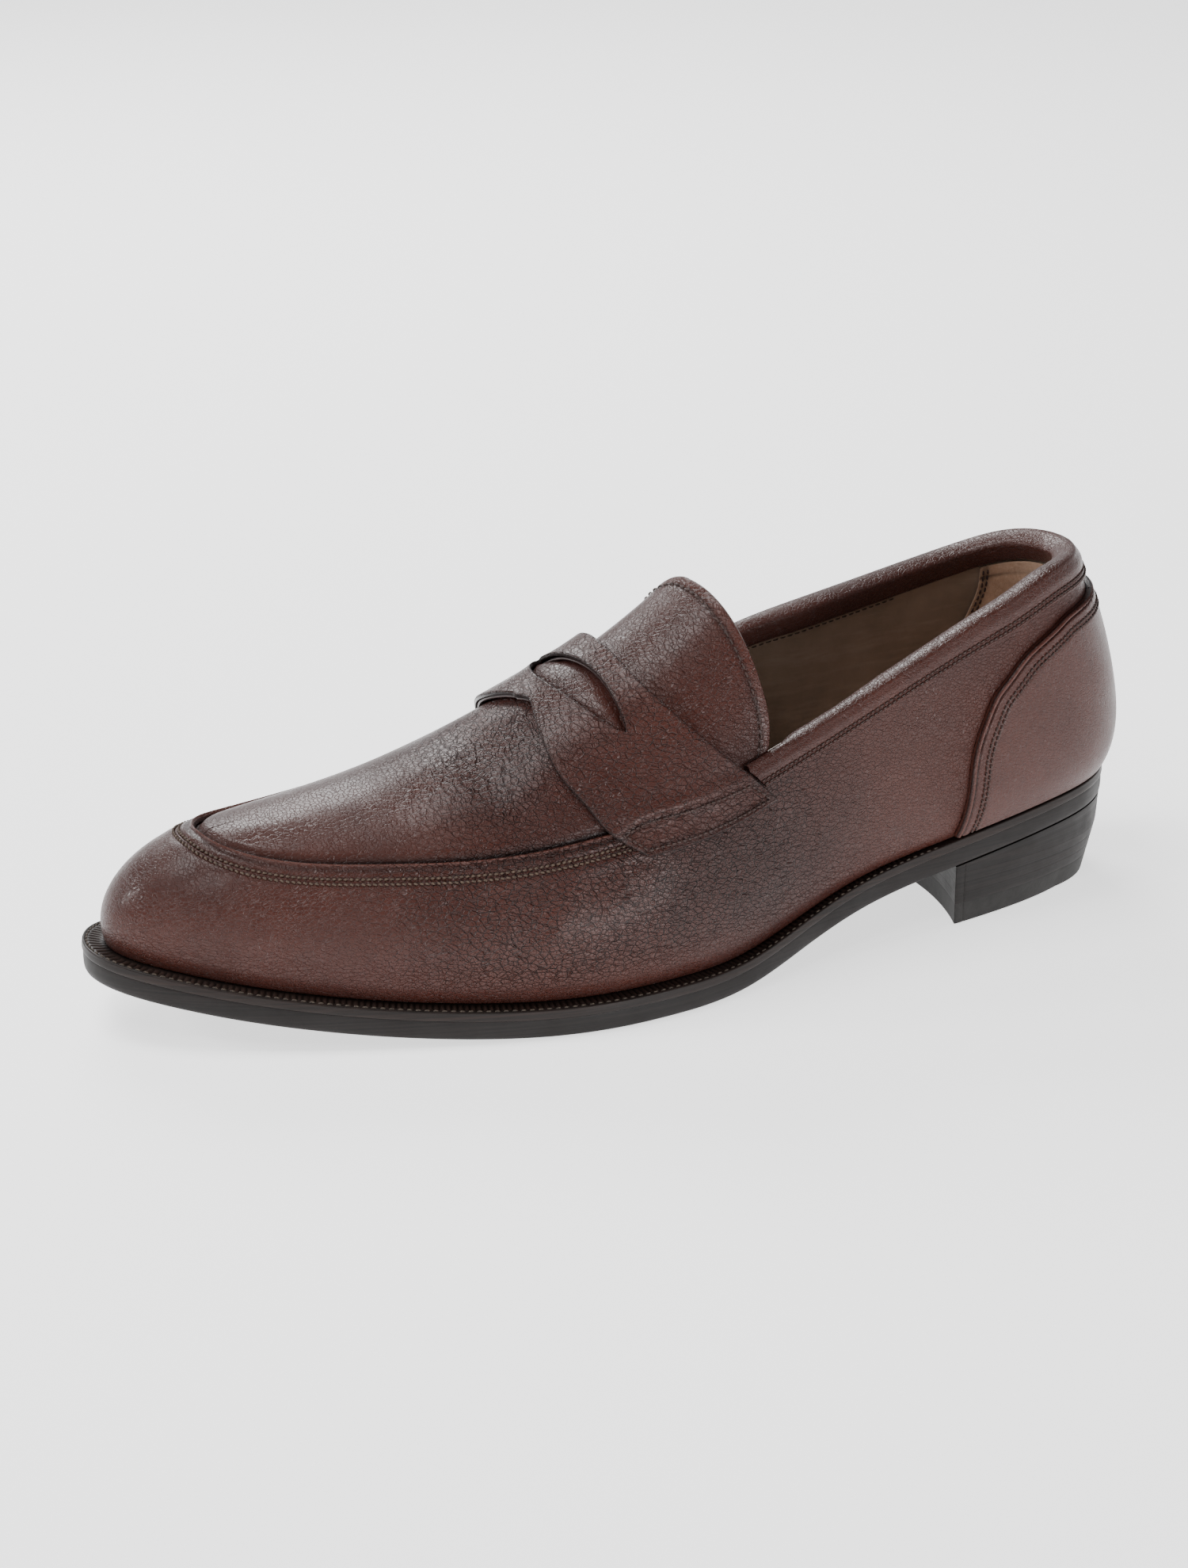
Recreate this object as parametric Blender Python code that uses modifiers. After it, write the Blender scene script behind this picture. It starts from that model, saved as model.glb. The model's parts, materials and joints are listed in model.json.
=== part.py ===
"""Penny loafer for the left foot, modelled piece by piece in Blender 4.5.

+Z is up, the toe points to -Y and the outer side of the foot to +X. The origin is on the ground
under the middle of the shoe. Lengths are in millimetres until a point is handed to Blender.

The upper is worked out from one form, the last. A place on it is (v, w): v runs once round the
feather edge, where the upper meets the welt, from the back of the heel along the outer side, round
the toe and back along the inner side; w runs from the feather (0) up to the ridge of the form (1).
Every leather layer is a stretch of that form, moved out or in by its depth.
"""

import math

import bmesh
import bpy
import numpy as np

MM = 0.001

# ---- the last: plan outline, heights and section shape -------------------------------------------
# (distance from the heel back, distance from the centre line, outer side positive)
FEATHER_OUTLINE = [
    (0, 0), (6.5, 15.5), (26, 25.5), (60, 30), (100, 34.5), (140, 44), (174, 47),
    (214, 37.6), (250, 24), (279, 9), (292.5, -7.5), (287, -22), (266, -32), (232, -39.5),
    (200, -41.5), (165, -34.5), (125, -26), (85, -25), (52, -27), (25, -26), (6, -15.5),
]
FEATHER_HEIGHT = [
    (-5, 33), (30, 30.2), (65, 25.2), (90, 21), (112, 14.8), (132, 9.7), (155, 8.7), (190, 8.7),
    (225, 10.8), (255, 15), (280, 20), (298, 24),
]
RIDGE_HEIGHT = [
    (-20, 132), (40, 130), (90, 123), (115, 113), (135, 100.5), (150, 90.5), (170, 79.5),
    (190, 70), (210, 62), (230, 57), (250, 54), (270, 51.2), (285, 48.5), (300, 45),
]
RIDGE_SIDE = [(0, 0.5), (60, 1.5), (120, 2), (160, 1), (200, -1.5), (230, -4), (262, -6.5), (290, -8)]
PLAN_FULLNESS = [
    (0, 1.8), (16, 2.3), (40, 2.85), (60, 3), (110, 2.7), (150, 2.3), (200, 2.2), (250, 2.5), (290, 2.9),
]
HEIGHT_FULLNESS = [(0, 3), (60, 3), (110, 2.6), (150, 2.1), (200, 2), (250, 2.1), (290, 2.3)]
BULGE = [(0, 4), (40, 3.5), (80, 3), (120, 3), (180, 3.5), (220, 3), (260, 2.2), (290, 2)]
BULGE_HEIGHT = 16.0
HEEL_LEAN, LEAN_HEIGHT, LEAN_REACH = 4.0, 60.0, 45.0
RIDGE_REAR, RIDGE_FRONT = 48.0, 256.0
SHOE_MIDDLE, SHOE_SIDE = 146.6, 2.5

# ---- edges of the upper's pieces -------------------------------------------------------------------
# height of the upper edge of the wrap: topline at the heel, then the apron seam, by v
WRAP_EDGE = [
    (0, 95.2), (0.02, 95.8), (0.04, 96), (0.06, 94.9), (0.08, 91.7), (0.1, 87.6), (0.139, 78.1),
    (0.183, 68.3), (0.222, 61), (0.25, 55.7), (0.29, 50.6), (0.323, 47.6), (0.351, 46.4),
    (0.381, 46.4), (0.413, 47.1), (0.438, 48.5), (0.46, 50.1), (0.48, 51.1), (0.5, 51.5), (0.52, 51.3),
    (0.54, 50.8), (0.56, 50), (0.58, 49.5), (0.61, 49.8), (0.65, 51.3), (0.7, 54), (0.74, 59),
    (0.778, 66.5), (0.8, 72),
    (0.82, 75.9), (0.86, 80.4), (0.9, 84), (0.94, 88.7), (0.96, 92), (0.98, 94.3), (1, 95.2),
]
# distance from the heel of the tongue's free end and of the strap's edges, by w
TONGUE_END = [(0, 140), (0.25, 135), (0.342, 126.3), (0.41, 121.4), (0.5, 121.2), (0.67, 124.8),
              (0.86, 128.2), (1, 129.6)]
TONGUE_END_INNER = [(0, 143), (0.25, 140), (0.342, 137), (0.41, 135), (0.5, 134), (0.67, 133.6),
                    (0.86, 132), (1, 129.6)]
STRAP_REAR = [(0.2, 120.6), (0.341, 132), (0.45, 139.7), (0.598, 147.5), (0.778, 153.1), (1, 154.6)]
STRAP_FRONT = [(0.29, 161), (0.313, 162.6), (0.387, 169.7), (0.49, 174.8), (0.601, 178.9),
               (0.72, 180), (0.8, 179.4), (0.893, 177.8), (0.951, 177), (1, 178.7)]
STRAP_FRONT_INNER = [(0.29, 161), (0.387, 169.7), (0.49, 174.8), (0.601, 178.9), (0.7, 181.2),
                     (0.83, 182.3), (0.92, 180.8), (1, 178.7)]
STRAP_FOOT_REAR, STRAP_FOOT_FRONT = 0.219, 0.313
# how far round from the heel's back the counter cover reaches, as v, by height
COVER_EDGE = [(24, 0.116), (40, 0.1115), (50, 0.1095), (55, 0.107), (62, 0.1016), (66.6, 0.0968),
              (70.5, 0.09), (77.2, 0.0756), (81.8, 0.0576), (84, 0.041), (85, 0.022)]
COVER_FALL, COVER_FALL_REACH, COVER_FALL_HEIGHTS = 3.0, 0.06, (40, 80)
THROAT_OUTER, THROAT_INNER = 0.222, 0.778
LINING_SPLIT = 150.0
PLUG_REAR = 158.0
# how far forward the heel grip reaches, as distance from the heel, by height
GRIP_EDGE = [(30, 62), (45, 50), (55.5, 39), (63.6, 31), (69.6, 27), (75.4, 24), (81, 21.5), (88, 20)]
GRIP_FOOT, GRIP_TOP, GRIP_CLEAR = 36.0, 88.0, 1.5
COVER_FOOT = 1.2
COUNTER_REACH = 78.0
PUFF_REAR = 240.0
# distances from the heel between which a layer sinks: the lining to make room for the plug or the
# tongue, the lining to close up past the stiffener, and the lining to make room for the puff
PLUG_ROOM, COUNTER_ROOM, PUFF_ROOM = (98, 112), (80, 100), (216, 236)
SLOT_CENTRE, SLOT_HALF, SLOT_TURN = (163.5, 9.0), 20.5, math.radians(-8)
SLOT_BACK, SLOT_FRONT = 1.8, 7.4
SLOT_LOW, SLOT_HIGH = 60.0, 105.0

# ---- thicknesses ------------------------------------------------------------------------------------
UPPER, PLUG, LINING, STIFFENER, PUFF, SUEDE, COVER, BINDING = 1.3, 1.3, 1.0, 1.1, 0.8, 0.8, 1.3, 1.1
STRAP, STRAP_LINING, STRAP_GAP, BACKING_MARGIN = 1.2, 0.7, 0.3, 0.8
GAP, SIDE_GAP, COVER_GAP, GRIP_GAP = 0.4, 0.1, 0.8, 0.2
WELT, OUTSOLE, INSOLE, SOCK, CORK, SHANK = 2.7, 5.1, 2.5, 0.9, 2.9, 1.1
SOLE_GAP, SOLE_INSET, HEEL_INSET = 0.3, 0.4, 0.5
INSOLE_INSET, SOCK_INSET, CORK_INSET, CORK_REAR = 6.2, 7.0, 5.4, 158.0
SHANK_REAR, SHANK_FRONT, SHANK_HALF, SHANK_SWELL, SHANK_DROP = 36, 152, 6.5, 1.5, 1.0
WELT_TOP, WELT_HIDDEN = -0.5, 4.5
WELT_REACH = [(0, 2), (70, 2), (110, 3), (150, 4.5), (200, 5), (260, 5.5), (295, 6)]
COLLAR_INNER, COLLAR_CROWN, COLLAR_LEAN = 5.0, 1.5, 5.5
COLLAR_LEANS, COLLAR_SHORTENS, COLLAR_ENDS = (106, 126), (90, 102), (102, 114)
COLLAR_CHANGES = (90, 96, 102, 108, 114, 120)
HEEL_TAPER = [(0, 4), (20, 4.5), (60, 0.2)]
HEEL_TOP, HEEL_BREAST, BREAST_HOLLOW = 18.0, 60.0, 5.0
HEEL_TOP_PIECE, HEEL_LIFT, LIFT_GAP = 5.8, 2.9, 0.2

# ---- how finely the form is divided ---------------------------------------------------------------------
HALF_STATIONS = 28
WALL_ROWS, TOP_ROWS, STRAP_ROWS, COVER_ROWS, GRIP_ROWS, TONGUE_ROWS = 8, 5, 9, 12, 8, 7
EDGE_ROW, EDGE_SHARE = 7.5, 0.16
HIDDEN_ROW = WALL_ROWS - 2

COLOURS = {
    "upper_leather": ((0.135, 0.042, 0.028), 0.42, 0),
    "lining_leather": ((0.30, 0.17, 0.09), 0.6, 0),
    "suede": ((0.33, 0.19, 0.10), 0.9, 0),
    "sole_leather": ((0.030, 0.020, 0.017), 0.4, 0),
    "insole_leather": ((0.42, 0.27, 0.16), 0.7, 0),
    "cork": ((0.38, 0.24, 0.13), 0.9, 0),
    "stiffener": ((0.62, 0.55, 0.44), 0.8, 0),
    "steel": ((0.55, 0.55, 0.56), 0.35, 1),
    "rubber": ((0.018, 0.016, 0.015), 0.65, 0),
}


# ==== curves ==============================================================================================
def cubic(xs, ys, closed=False):
    """Cubic spline through the points: straight beyond free ends, or closed on itself."""
    xs = np.asarray(xs, float)
    ys = np.asarray(ys, float).reshape(len(xs), -1)
    step = np.diff(xs)
    slope = np.diff(ys, axis=0) / step[:, None]
    count = len(xs)
    matrix = np.zeros((count, count))
    right = np.zeros(ys.shape)
    for i in range(1, count - 1):
        matrix[i, i - 1 : i + 2] = step[i - 1], 2 * (step[i - 1] + step[i]), step[i]
        right[i] = 6 * (slope[i] - slope[i - 1])
    matrix[0, 0] = 1
    matrix[-1, -1] = 1
    if closed:
        matrix[0, -1] = -1
        matrix[-1, [0, 1, -2, -1]] = 2 * step[0], step[0], step[-1], 2 * step[-1]
        right[-1] = 6 * (slope[0] - slope[-1])
    bend = np.linalg.solve(matrix, right)
    first = slope[0] - step[0] * (2 * bend[0] + bend[1]) / 6
    last_slope = slope[-1] + step[-1] * (bend[-2] + 2 * bend[-1]) / 6

    def value(x):
        x = np.asarray(x, float)
        inside = np.clip(x.ravel(), xs[0], xs[-1])
        k = np.clip(np.searchsorted(xs, inside) - 1, 0, count - 2)
        after = (inside - xs[k])[:, None]
        before = (xs[k + 1] - inside)[:, None]
        h = step[k][:, None]
        y = (bend[k] * before**3 + bend[k + 1] * after**3) / (6 * h)
        y += (ys[k] / h - bend[k] * h / 6) * before
        y += (ys[k + 1] / h - bend[k + 1] * h / 6) * after
        beyond = (x.ravel() - inside)[:, None]
        y += beyond * np.where(beyond < 0, first, last_slope)
        return y.reshape(x.shape + (ys.shape[1:] if ys.shape[1] > 1 else ()))

    return value


def table(points):
    return cubic(*zip(*points))


def closed_outline(points):
    """The smooth closed curve through the points, as a function of the share of its length."""
    ring = np.array(points + points[:1], float)
    chord = np.concatenate([[0], np.cumsum(np.hypot(*np.diff(ring, axis=0).T))])
    curve = cubic(chord, ring, closed=True)
    fine = np.linspace(0, chord[-1], 4001)
    run = np.concatenate([[0], np.cumsum(np.hypot(*np.diff(curve(fine), axis=0).T))])
    return lambda v: curve(np.interp((np.asarray(v, float) % 1) * run[-1], run, fine))


outline = closed_outline(FEATHER_OUTLINE)
feather_height = table(FEATHER_HEIGHT)
ridge_height = table(RIDGE_HEIGHT)
ridge_side = table(RIDGE_SIDE)
plan_fullness = table(PLAN_FULLNESS)
height_fullness = table(HEIGHT_FULLNESS)
bulge_depth = table(BULGE)
wrap_edge = table(WRAP_EDGE)
tongue_end = table(TONGUE_END)
tongue_end_inner = table(TONGUE_END_INNER)
strap_rear = table(STRAP_REAR)
strap_front = table(STRAP_FRONT)
strap_front_inner = table(STRAP_FRONT_INNER)
cover_edge = table(COVER_EDGE)
grip_edge = table(GRIP_EDGE)


def welt_reach(s):
    return np.interp(s, *zip(*WELT_REACH))


def soft_min(a, b, width):
    share = np.clip(0.5 + 0.5 * (b - a) / width, 0, 1)
    return b * (1 - share) + a * share - width * share * (1 - share)


def smooth_step(x, low, high):
    share = np.clip((x - low) / (high - low), 0, 1)
    return share * share * (3 - 2 * share)


# ==== the last ============================================================================================
def outward(v):
    """Direction away from the foot, in plan."""
    along = outline(v + 1e-4) - outline(v - 1e-4)
    away = np.stack([-along[..., 1], along[..., 0]], -1)
    return away / np.linalg.norm(away, axis=-1, keepdims=True)


def ridge_point(s):
    run = -soft_min(-soft_min(s, RIDGE_FRONT, 60), -RIDGE_REAR, 50)
    return np.stack([run, ridge_side(run)], -1)


def last(v, w):
    """Point of the last as (distance from heel, side, height)."""
    foot = outline(v)
    s = foot[..., 0]
    inwards = 1 - np.clip(np.cos(w * np.pi / 2), 0, 1) ** (2 / plan_fullness(s))
    upwards = np.clip(np.sin(w * np.pi / 2), 0, 1) ** (2 / height_fullness(s))
    plan = foot + (ridge_point(s) - foot) * inwards[..., None]
    base = feather_height(s)
    z = base + (ridge_height(plan[..., 0]) - base) * upwards
    rise = np.clip((z - base) / BULGE_HEIGHT, 0, None)
    plan = plan + outward(v) * (bulge_depth(s) * rise * np.exp(1 - rise))[..., None]
    lean = HEEL_LEAN * np.clip((z - base) / LEAN_HEIGHT, 0, 1.2) ** 2
    plan[..., 0] += lean * (1 - smooth_step(s, 0, LEAN_REACH))
    return np.concatenate([plan, z[..., None]], -1)


def layer(v, w, depth):
    """Point at this depth under the outer face of the wrap. A negative depth lies over it."""
    v, w, depth = np.broadcast_arrays(v, w, depth)
    inner = np.clip(w, 0.002, 0.994)
    along = last(v + 1e-3, inner) - last(v - 1e-3, inner)
    up = last(v, inner + 1e-3) - last(v, inner - 1e-3)
    normal = np.cross(up, along)
    normal /= np.linalg.norm(normal, axis=-1, keepdims=True)
    return last(v, w) - normal * depth[..., None]


FINE_V = np.linspace(0, 1, 2001)
FINE_S = outline(FINE_V)[:, 0]
TOE_V = FINE_V[np.argmax(FINE_S)]
TOE_S = FINE_S.max()


def outer_v(s):
    """Place on the outer side, by distance from the heel."""
    half = FINE_V <= TOE_V
    return np.interp(s, FINE_S[half], FINE_V[half])


def inner_v(s):
    half = FINE_V >= TOE_V
    return np.interp(s, FINE_S[half][::-1], FINE_V[half][::-1])


def w_at(v, height):
    """How far up the last a height is reached."""
    v, height = np.broadcast_arrays(v, height)
    rise = np.linspace(0, 1, 201)
    found = [np.interp(h, last(np.full(201, a), rise)[:, 2], rise) for a, h in zip(v.ravel(), height.ravel())]
    return np.array(found).reshape(v.shape)


def wrap_top(v):
    return w_at(v, wrap_edge(np.asarray(v, float) % 1))


def row_w(v, row):
    """Place up the last of each row of the wall, even in height, with the last two rows close to its edge."""
    v, row = np.broadcast_arrays(np.asarray(v, float), np.asarray(row, float))
    low = feather_height(outline(v)[..., 0])
    tall = wrap_edge(v % 1) - low
    edge = np.minimum(EDGE_ROW, EDGE_SHARE * tall)
    share = np.clip(row / (WALL_ROWS - 2), 0, 1) ** 1.4
    height = np.where(row <= WALL_ROWS - 2, (tall - 2 * edge) * share, tall - (WALL_ROWS - row) * edge)
    return w_at(v, low + height)


# Stations stand at the same distances from the heel on both sides, closer at the rounded ends.
STATION_S = TOE_S * (1 - np.cos(np.linspace(0, np.pi, HALF_STATIONS))) / 2


def stations(low, high):
    """Distances from the heel at which sections stand, from low to high."""
    inside = STATION_S[(STATION_S > low + 0.6) & (STATION_S < high - 0.6)]
    return np.concatenate([[low], inside, [high]])


# ==== Blender objects =======================================================================================
def clear_scene():
    for obj in list(bpy.data.objects):
        bpy.data.objects.remove(obj, do_unlink=True)


def collection(name):
    made = bpy.data.collections.new(name)
    bpy.context.scene.collection.children.link(made)
    return made


def material(name):
    colour, roughness, metallic = COLOURS[name]
    made = bpy.data.materials.new(name)
    made.use_nodes = True
    shader = made.node_tree.nodes["Principled BSDF"]
    shader.inputs["Base Color"].default_value = (*colour, 1)
    shader.inputs["Roughness"].default_value = roughness
    shader.inputs["Metallic"].default_value = metallic
    made.diffuse_color = (*colour, 1)
    return made


def to_world(points):
    """Millimetres from the heel, to the side and up, as metres in Blender's axes."""
    x = points[..., 1] - SHOE_SIDE
    return np.stack([x, SHOE_MIDDLE - points[..., 0], points[..., 2]], -1) * MM


def sheet(name, points, slot, thickness, ring=False):
    """A grid of points as a surface, thickened inwards from the face whose points are given."""
    rows, columns = points.shape[:2]
    mesh = bmesh.new()
    verts = [mesh.verts.new(p) for p in to_world(points).reshape(-1, 3)]
    for i in range(rows if ring else rows - 1):
        for j in range(columns - 1):
            a, b = i * columns + j, (i + 1) % rows * columns + j
            mesh.faces.new((verts[a], verts[a + 1], verts[b + 1], verts[b]))
    bmesh.ops.remove_doubles(mesh, verts=mesh.verts, dist=0.002 * MM)
    return finish(name, mesh, slot, thickness)


def finish(name, mesh, slot, thickness=0):
    data = bpy.data.meshes.new(name)
    mesh.to_mesh(data)
    mesh.free()
    data.shade_smooth()
    obj = bpy.data.objects.new(name, data)
    data.materials.append(bpy.data.materials.get(slot) or material(slot))
    SHOE.objects.link(obj)
    if thickness:
        solid = obj.modifiers.new("thickness", "SOLIDIFY")
        solid.thickness = thickness * MM
        solid.offset = -1
        solid.use_even_offset = False
    return obj


def tube_of(name, sections, slot):
    """A solid skinned over closed cross sections, one row of points each, with its ends filled."""
    rows, columns = sections.shape[:2]
    mesh = bmesh.new()
    verts = [mesh.verts.new(p) for p in to_world(sections).reshape(-1, 3)]
    for i in range(rows - 1):
        for j in range(columns):
            a, b = i * columns, (i + 1) * columns
            k = (j + 1) % columns
            mesh.faces.new((verts[a + j], verts[a + k], verts[b + k], verts[b + j]))
    mesh.faces.new(verts[:columns][::-1])
    mesh.faces.new(verts[-columns:])
    bmesh.ops.triangulate(mesh, faces=[f for f in mesh.faces if len(f.verts) > 4])
    bmesh.ops.recalc_face_normals(mesh, faces=mesh.faces)
    return finish(name, mesh, slot)


# ==== the upper ============================================================================================
def between_stations(s, values):
    """A depth that changes in straight runs from station to station, so that layers stay parallel."""
    return np.interp(s, STATION_S, values)


def lining_depth(v, row):
    """Depth of the face that the linings and stiffeners start from: deeper where the plug or tongue lies
    between them and the wrap."""
    room = between_stations(outline(v)[..., 0], (PLUG + GAP) * smooth_step(STATION_S, *PLUG_ROOM))
    return UPPER + GAP + room * (np.asarray(row) >= HIDDEN_ROW)


def heel_extra(s):
    """Room that the heel stiffener takes under the quarter linings."""
    taken = 1 - smooth_step(STATION_S, *COUNTER_ROOM)
    return between_stations(s, (STIFFENER + GAP) * taken)


def toe_extra(s):
    """Room that the toe puff takes over the vamp lining."""
    return between_stations(s, (PUFF + GAP) * smooth_step(STATION_S, *PUFF_ROOM))


def ring_of_v():
    """Every station round the shoe, once."""
    return np.concatenate([outer_v(STATION_S), inner_v(STATION_S[-2:0:-1])])


def wall_rows(v, first=0, last_row=WALL_ROWS):
    """(v, w, row) over the side wall, from one row of the form to another."""
    rows = np.arange(first, last_row + 1)
    v, rows = np.broadcast_arrays(v[:, None], rows[None])
    return v, row_w(v, rows), rows


def vamp_wrap():
    """One piece round the whole shoe: the vamp's sides and toe, and both quarters."""
    v, w, _ = wall_rows(ring_of_v())
    sheet("vamp_wrap", layer(v, w, 0.0), "upper_leather", UPPER, ring=True)


def crossing(s, first):
    """(v, w, row) right over the foot at stations s, starting in the wall at row first on both sides."""
    rows = np.concatenate([np.arange(first, WALL_ROWS), WALL_ROWS + np.arange(TOP_ROWS + 1)])
    across = np.concatenate([rows, rows[::-1]])[None]
    side = np.arange(2 * len(rows)) < len(rows)
    v = np.where(side[None], outer_v(s)[:, None], inner_v(s)[:, None])
    v, across = np.broadcast_arrays(v, across)
    return v, climb(v, across), across


def climb(v, row):
    """Place up the last of a row of the wall or, past its top row, of a row over the foot."""
    share = np.clip((row - WALL_ROWS) / TOP_ROWS, 0, 1)
    return row_w(v, np.minimum(row, WALL_ROWS)) * (1 - share) + share


def apron_plug():
    """The top of the toe inside the apron seam, its edges under the wrap's."""
    v, w, _ = crossing(stations(PLUG_REAR, TOE_S), HIDDEN_ROW)
    sheet("apron_plug", layer(v, w, UPPER + GAP), "upper_leather", PLUG)


def tongue_grid(front, inset, first):
    """(v, w) of the tongue from its front edge to its rounded free end."""
    share = np.linspace(0, 1, TONGUE_ROWS)[:, None]
    v, w, row = crossing(np.full(TONGUE_ROWS, front), first)
    end = np.where(v < TOE_V, tongue_end(w), tongue_end_inner(w))
    s = front + (end + inset - front) * share
    v = np.where(v < TOE_V, outer_v(s), inner_v(s))
    return v, climb(v, row)


def tongue():
    v, w = tongue_grid(PLUG_REAR - GAP, 0, HIDDEN_ROW)
    sheet("tongue", layer(v, w, UPPER + GAP)[::-1], "upper_leather", PLUG)


def tongue_lining():
    v, w = tongue_grid(LINING_SPLIT - GAP, 1.0, WALL_ROWS)
    w = np.maximum(w, wrap_top(v) + 0.03)
    sheet("tongue_lining", layer(v, w, UPPER + PLUG + 2 * GAP)[::-1], "lining_leather", LINING)


def vamp_lining():
    """One piece over the toes and the instep, from feather to feather."""
    s = stations(LINING_SPLIT, TOE_S)
    v, w, row = crossing(s, 0)
    depth = lining_depth(v, row) + toe_extra(outline(v)[..., 0])
    sheet("vamp_lining", layer(v, w, depth), "lining_leather", LINING)


def quarter_lining(name, place):
    s = stations(0.0, LINING_SPLIT - GAP)
    v, w, row = wall_rows(place(s))
    depth = lining_depth(v, row) + heel_extra(outline(v)[..., 0])
    points = layer(v, w, depth)
    if place is outer_v:
        points[0, :, 1] += GAP / 2
    else:
        points[0, :, 1] -= GAP / 2
        points = points[::-1]
    sheet(name, points, "lining_leather", LINING)


def round_heel(s):
    """Stations from the inner side, round the back of the heel, to the outer side."""
    return np.concatenate([inner_v(s[::-1]), outer_v(s[1:]) + 1])


def heel_counter_stiffener():
    """Stiffened cloth round the heel between the wrap and the quarter linings."""
    v, w, _ = wall_rows(round_heel(stations(0.0, COUNTER_REACH)), 0, WALL_ROWS - 1)
    sheet("heel_counter_stiffener", layer(v, w, UPPER + GAP), "stiffener", STIFFENER)


def toe_puff():
    """Stiffened cloth round the toe between the wrap and the vamp lining."""
    s = stations(PUFF_REAR, TOE_S)
    v = np.concatenate([outer_v(s), inner_v(s[-2::-1])])
    v, w, row = wall_rows(v)
    sheet("toe_puff", layer(v, w, lining_depth(v, row)), "stiffener", PUFF)


def heel_patch(reach):
    """Places v round the heel, as wide at each height as reach gives."""
    v = round_heel(stations(0.0, COUNTER_REACH)) - 1
    return 1 + v[:, None] * (reach / v[-1])[None]


def heel_grip():
    """Suede patch round the back of the heel, inside the linings."""
    share = np.linspace(0, 1, GRIP_ROWS)
    v = heel_patch(outer_v(grip_edge(GRIP_FOOT + (GRIP_TOP - GRIP_FOOT) * share)))
    top = wrap_edge(v % 1) - COLLAR_INNER - GRIP_CLEAR
    w = w_at(v, GRIP_FOOT + (top - GRIP_FOOT) * share)
    depth = UPPER + LINING + 2 * GAP + GRIP_GAP + heel_extra(outline(v)[..., 0])
    sheet("heel_grip", layer(v, w, depth), "suede", SUEDE)


def heel_counter_cover():
    """Outside patch round the heel, its upper edge under the topline and lower on the inner side."""
    known = np.array([z for z, _ in COVER_EDGE], float)
    heights = np.interp(np.linspace(0, 1, COVER_ROWS), np.linspace(0, 1, len(known)), known)
    v = heel_patch(cover_edge(heights))
    fall = COVER_FALL * smooth_step(1 - v, 0, COVER_FALL_REACH) * smooth_step(heights, *COVER_FALL_HEIGHTS)
    w = w_at(v, np.maximum(heights - fall, feather_height(outline(v)[..., 0]) + COVER_FOOT))
    sheet("heel_counter_cover", layer(v, w, -COVER - COVER_GAP), "upper_leather", COVER)


def topline_collar():
    """A strip folded over the topline. Beside the tongue only its outer half and its fold are left."""
    ends = outline(THROAT_OUTER)[0] - 1, outline(THROAT_INNER)[0] - 1
    s = np.union1d(stations(0.0, min(ends)), COLLAR_CHANGES)
    v = round_heel(s)
    s = np.abs(np.concatenate([s[::-1], s[1:]]))
    lean = COLLAR_LEAN * smooth_step(s, *COLLAR_LEANS)
    low_v = np.where(v < 1, inner_v(s - lean), 1 + outer_v(s - lean))
    short = smooth_step(s, *COLLAR_SHORTENS)
    beside = smooth_step(s, *COLLAR_ENDS)
    outer_w = row_w(low_v, WALL_ROWS - 1)
    edge = (v, wrap_top(v))
    inner_w = w_at(v, wrap_edge(v % 1) - COLLAR_INNER * (1 - short) - 0.01)
    full = lining_depth(v, WALL_ROWS) + heel_extra(s) + LINING + GAP
    near = full * (1 - beside) + (UPPER - 0.8 * BINDING) * beside
    far = near + BINDING * (1 - 0.2 * beside)
    up = layer(*edge, 0.0) - layer(v, edge[1] - 0.02, 0.0)
    rise = up / np.linalg.norm(up, axis=-1, keepdims=True) * COLLAR_CROWN
    lifted = rise * short[:, None]
    sections = [
        layer(low_v, outer_w, -GAP - SIDE_GAP),
        layer(low_v, outer_w, -GAP - BINDING),
        layer(*edge, -GAP - BINDING),
        layer(*edge, -GAP - 0.6 * BINDING) + 0.8 * rise,
        layer(*edge, near / 2) + 1.1 * rise,
        layer(*edge, far - 0.4 * BINDING) + 0.8 * rise,
        layer(*edge, far) + 0.5 * lifted,
        layer(v, inner_w, far) + 0.4 * lifted,
        layer(v, inner_w, near) + 0.35 * lifted,
        layer(*edge, near - 0.05) + 0.3 * rise,
        layer(*edge, -GAP - SIDE_GAP) + 0.3 * rise,
    ]
    tube_of("topline_collar", np.stack(sections, 1), "upper_leather")


def strap_grid(margin):
    """(v, w) of the saddle strap, from the foot on the outer side over the ridge to the inner foot."""
    across = np.linspace(0, 1, 8)[None]
    rise = np.linspace(0, 1, STRAP_ROWS)[:, None] ** 0.9
    foot = STRAP_FOOT_REAR + (STRAP_FOOT_FRONT - STRAP_FOOT_REAR) * across + 0.012 * margin
    w = foot + (1 - foot) * rise
    rear = strap_rear(w) + margin
    outer_s = rear + (strap_front(w) - margin - rear) * across
    inner_s = rear + (strap_front_inner(w) - margin - rear) * across
    v = np.concatenate([outer_v(outer_s), inner_v(inner_s[::-1])])
    return v, np.concatenate([w, w[::-1]])


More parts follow.
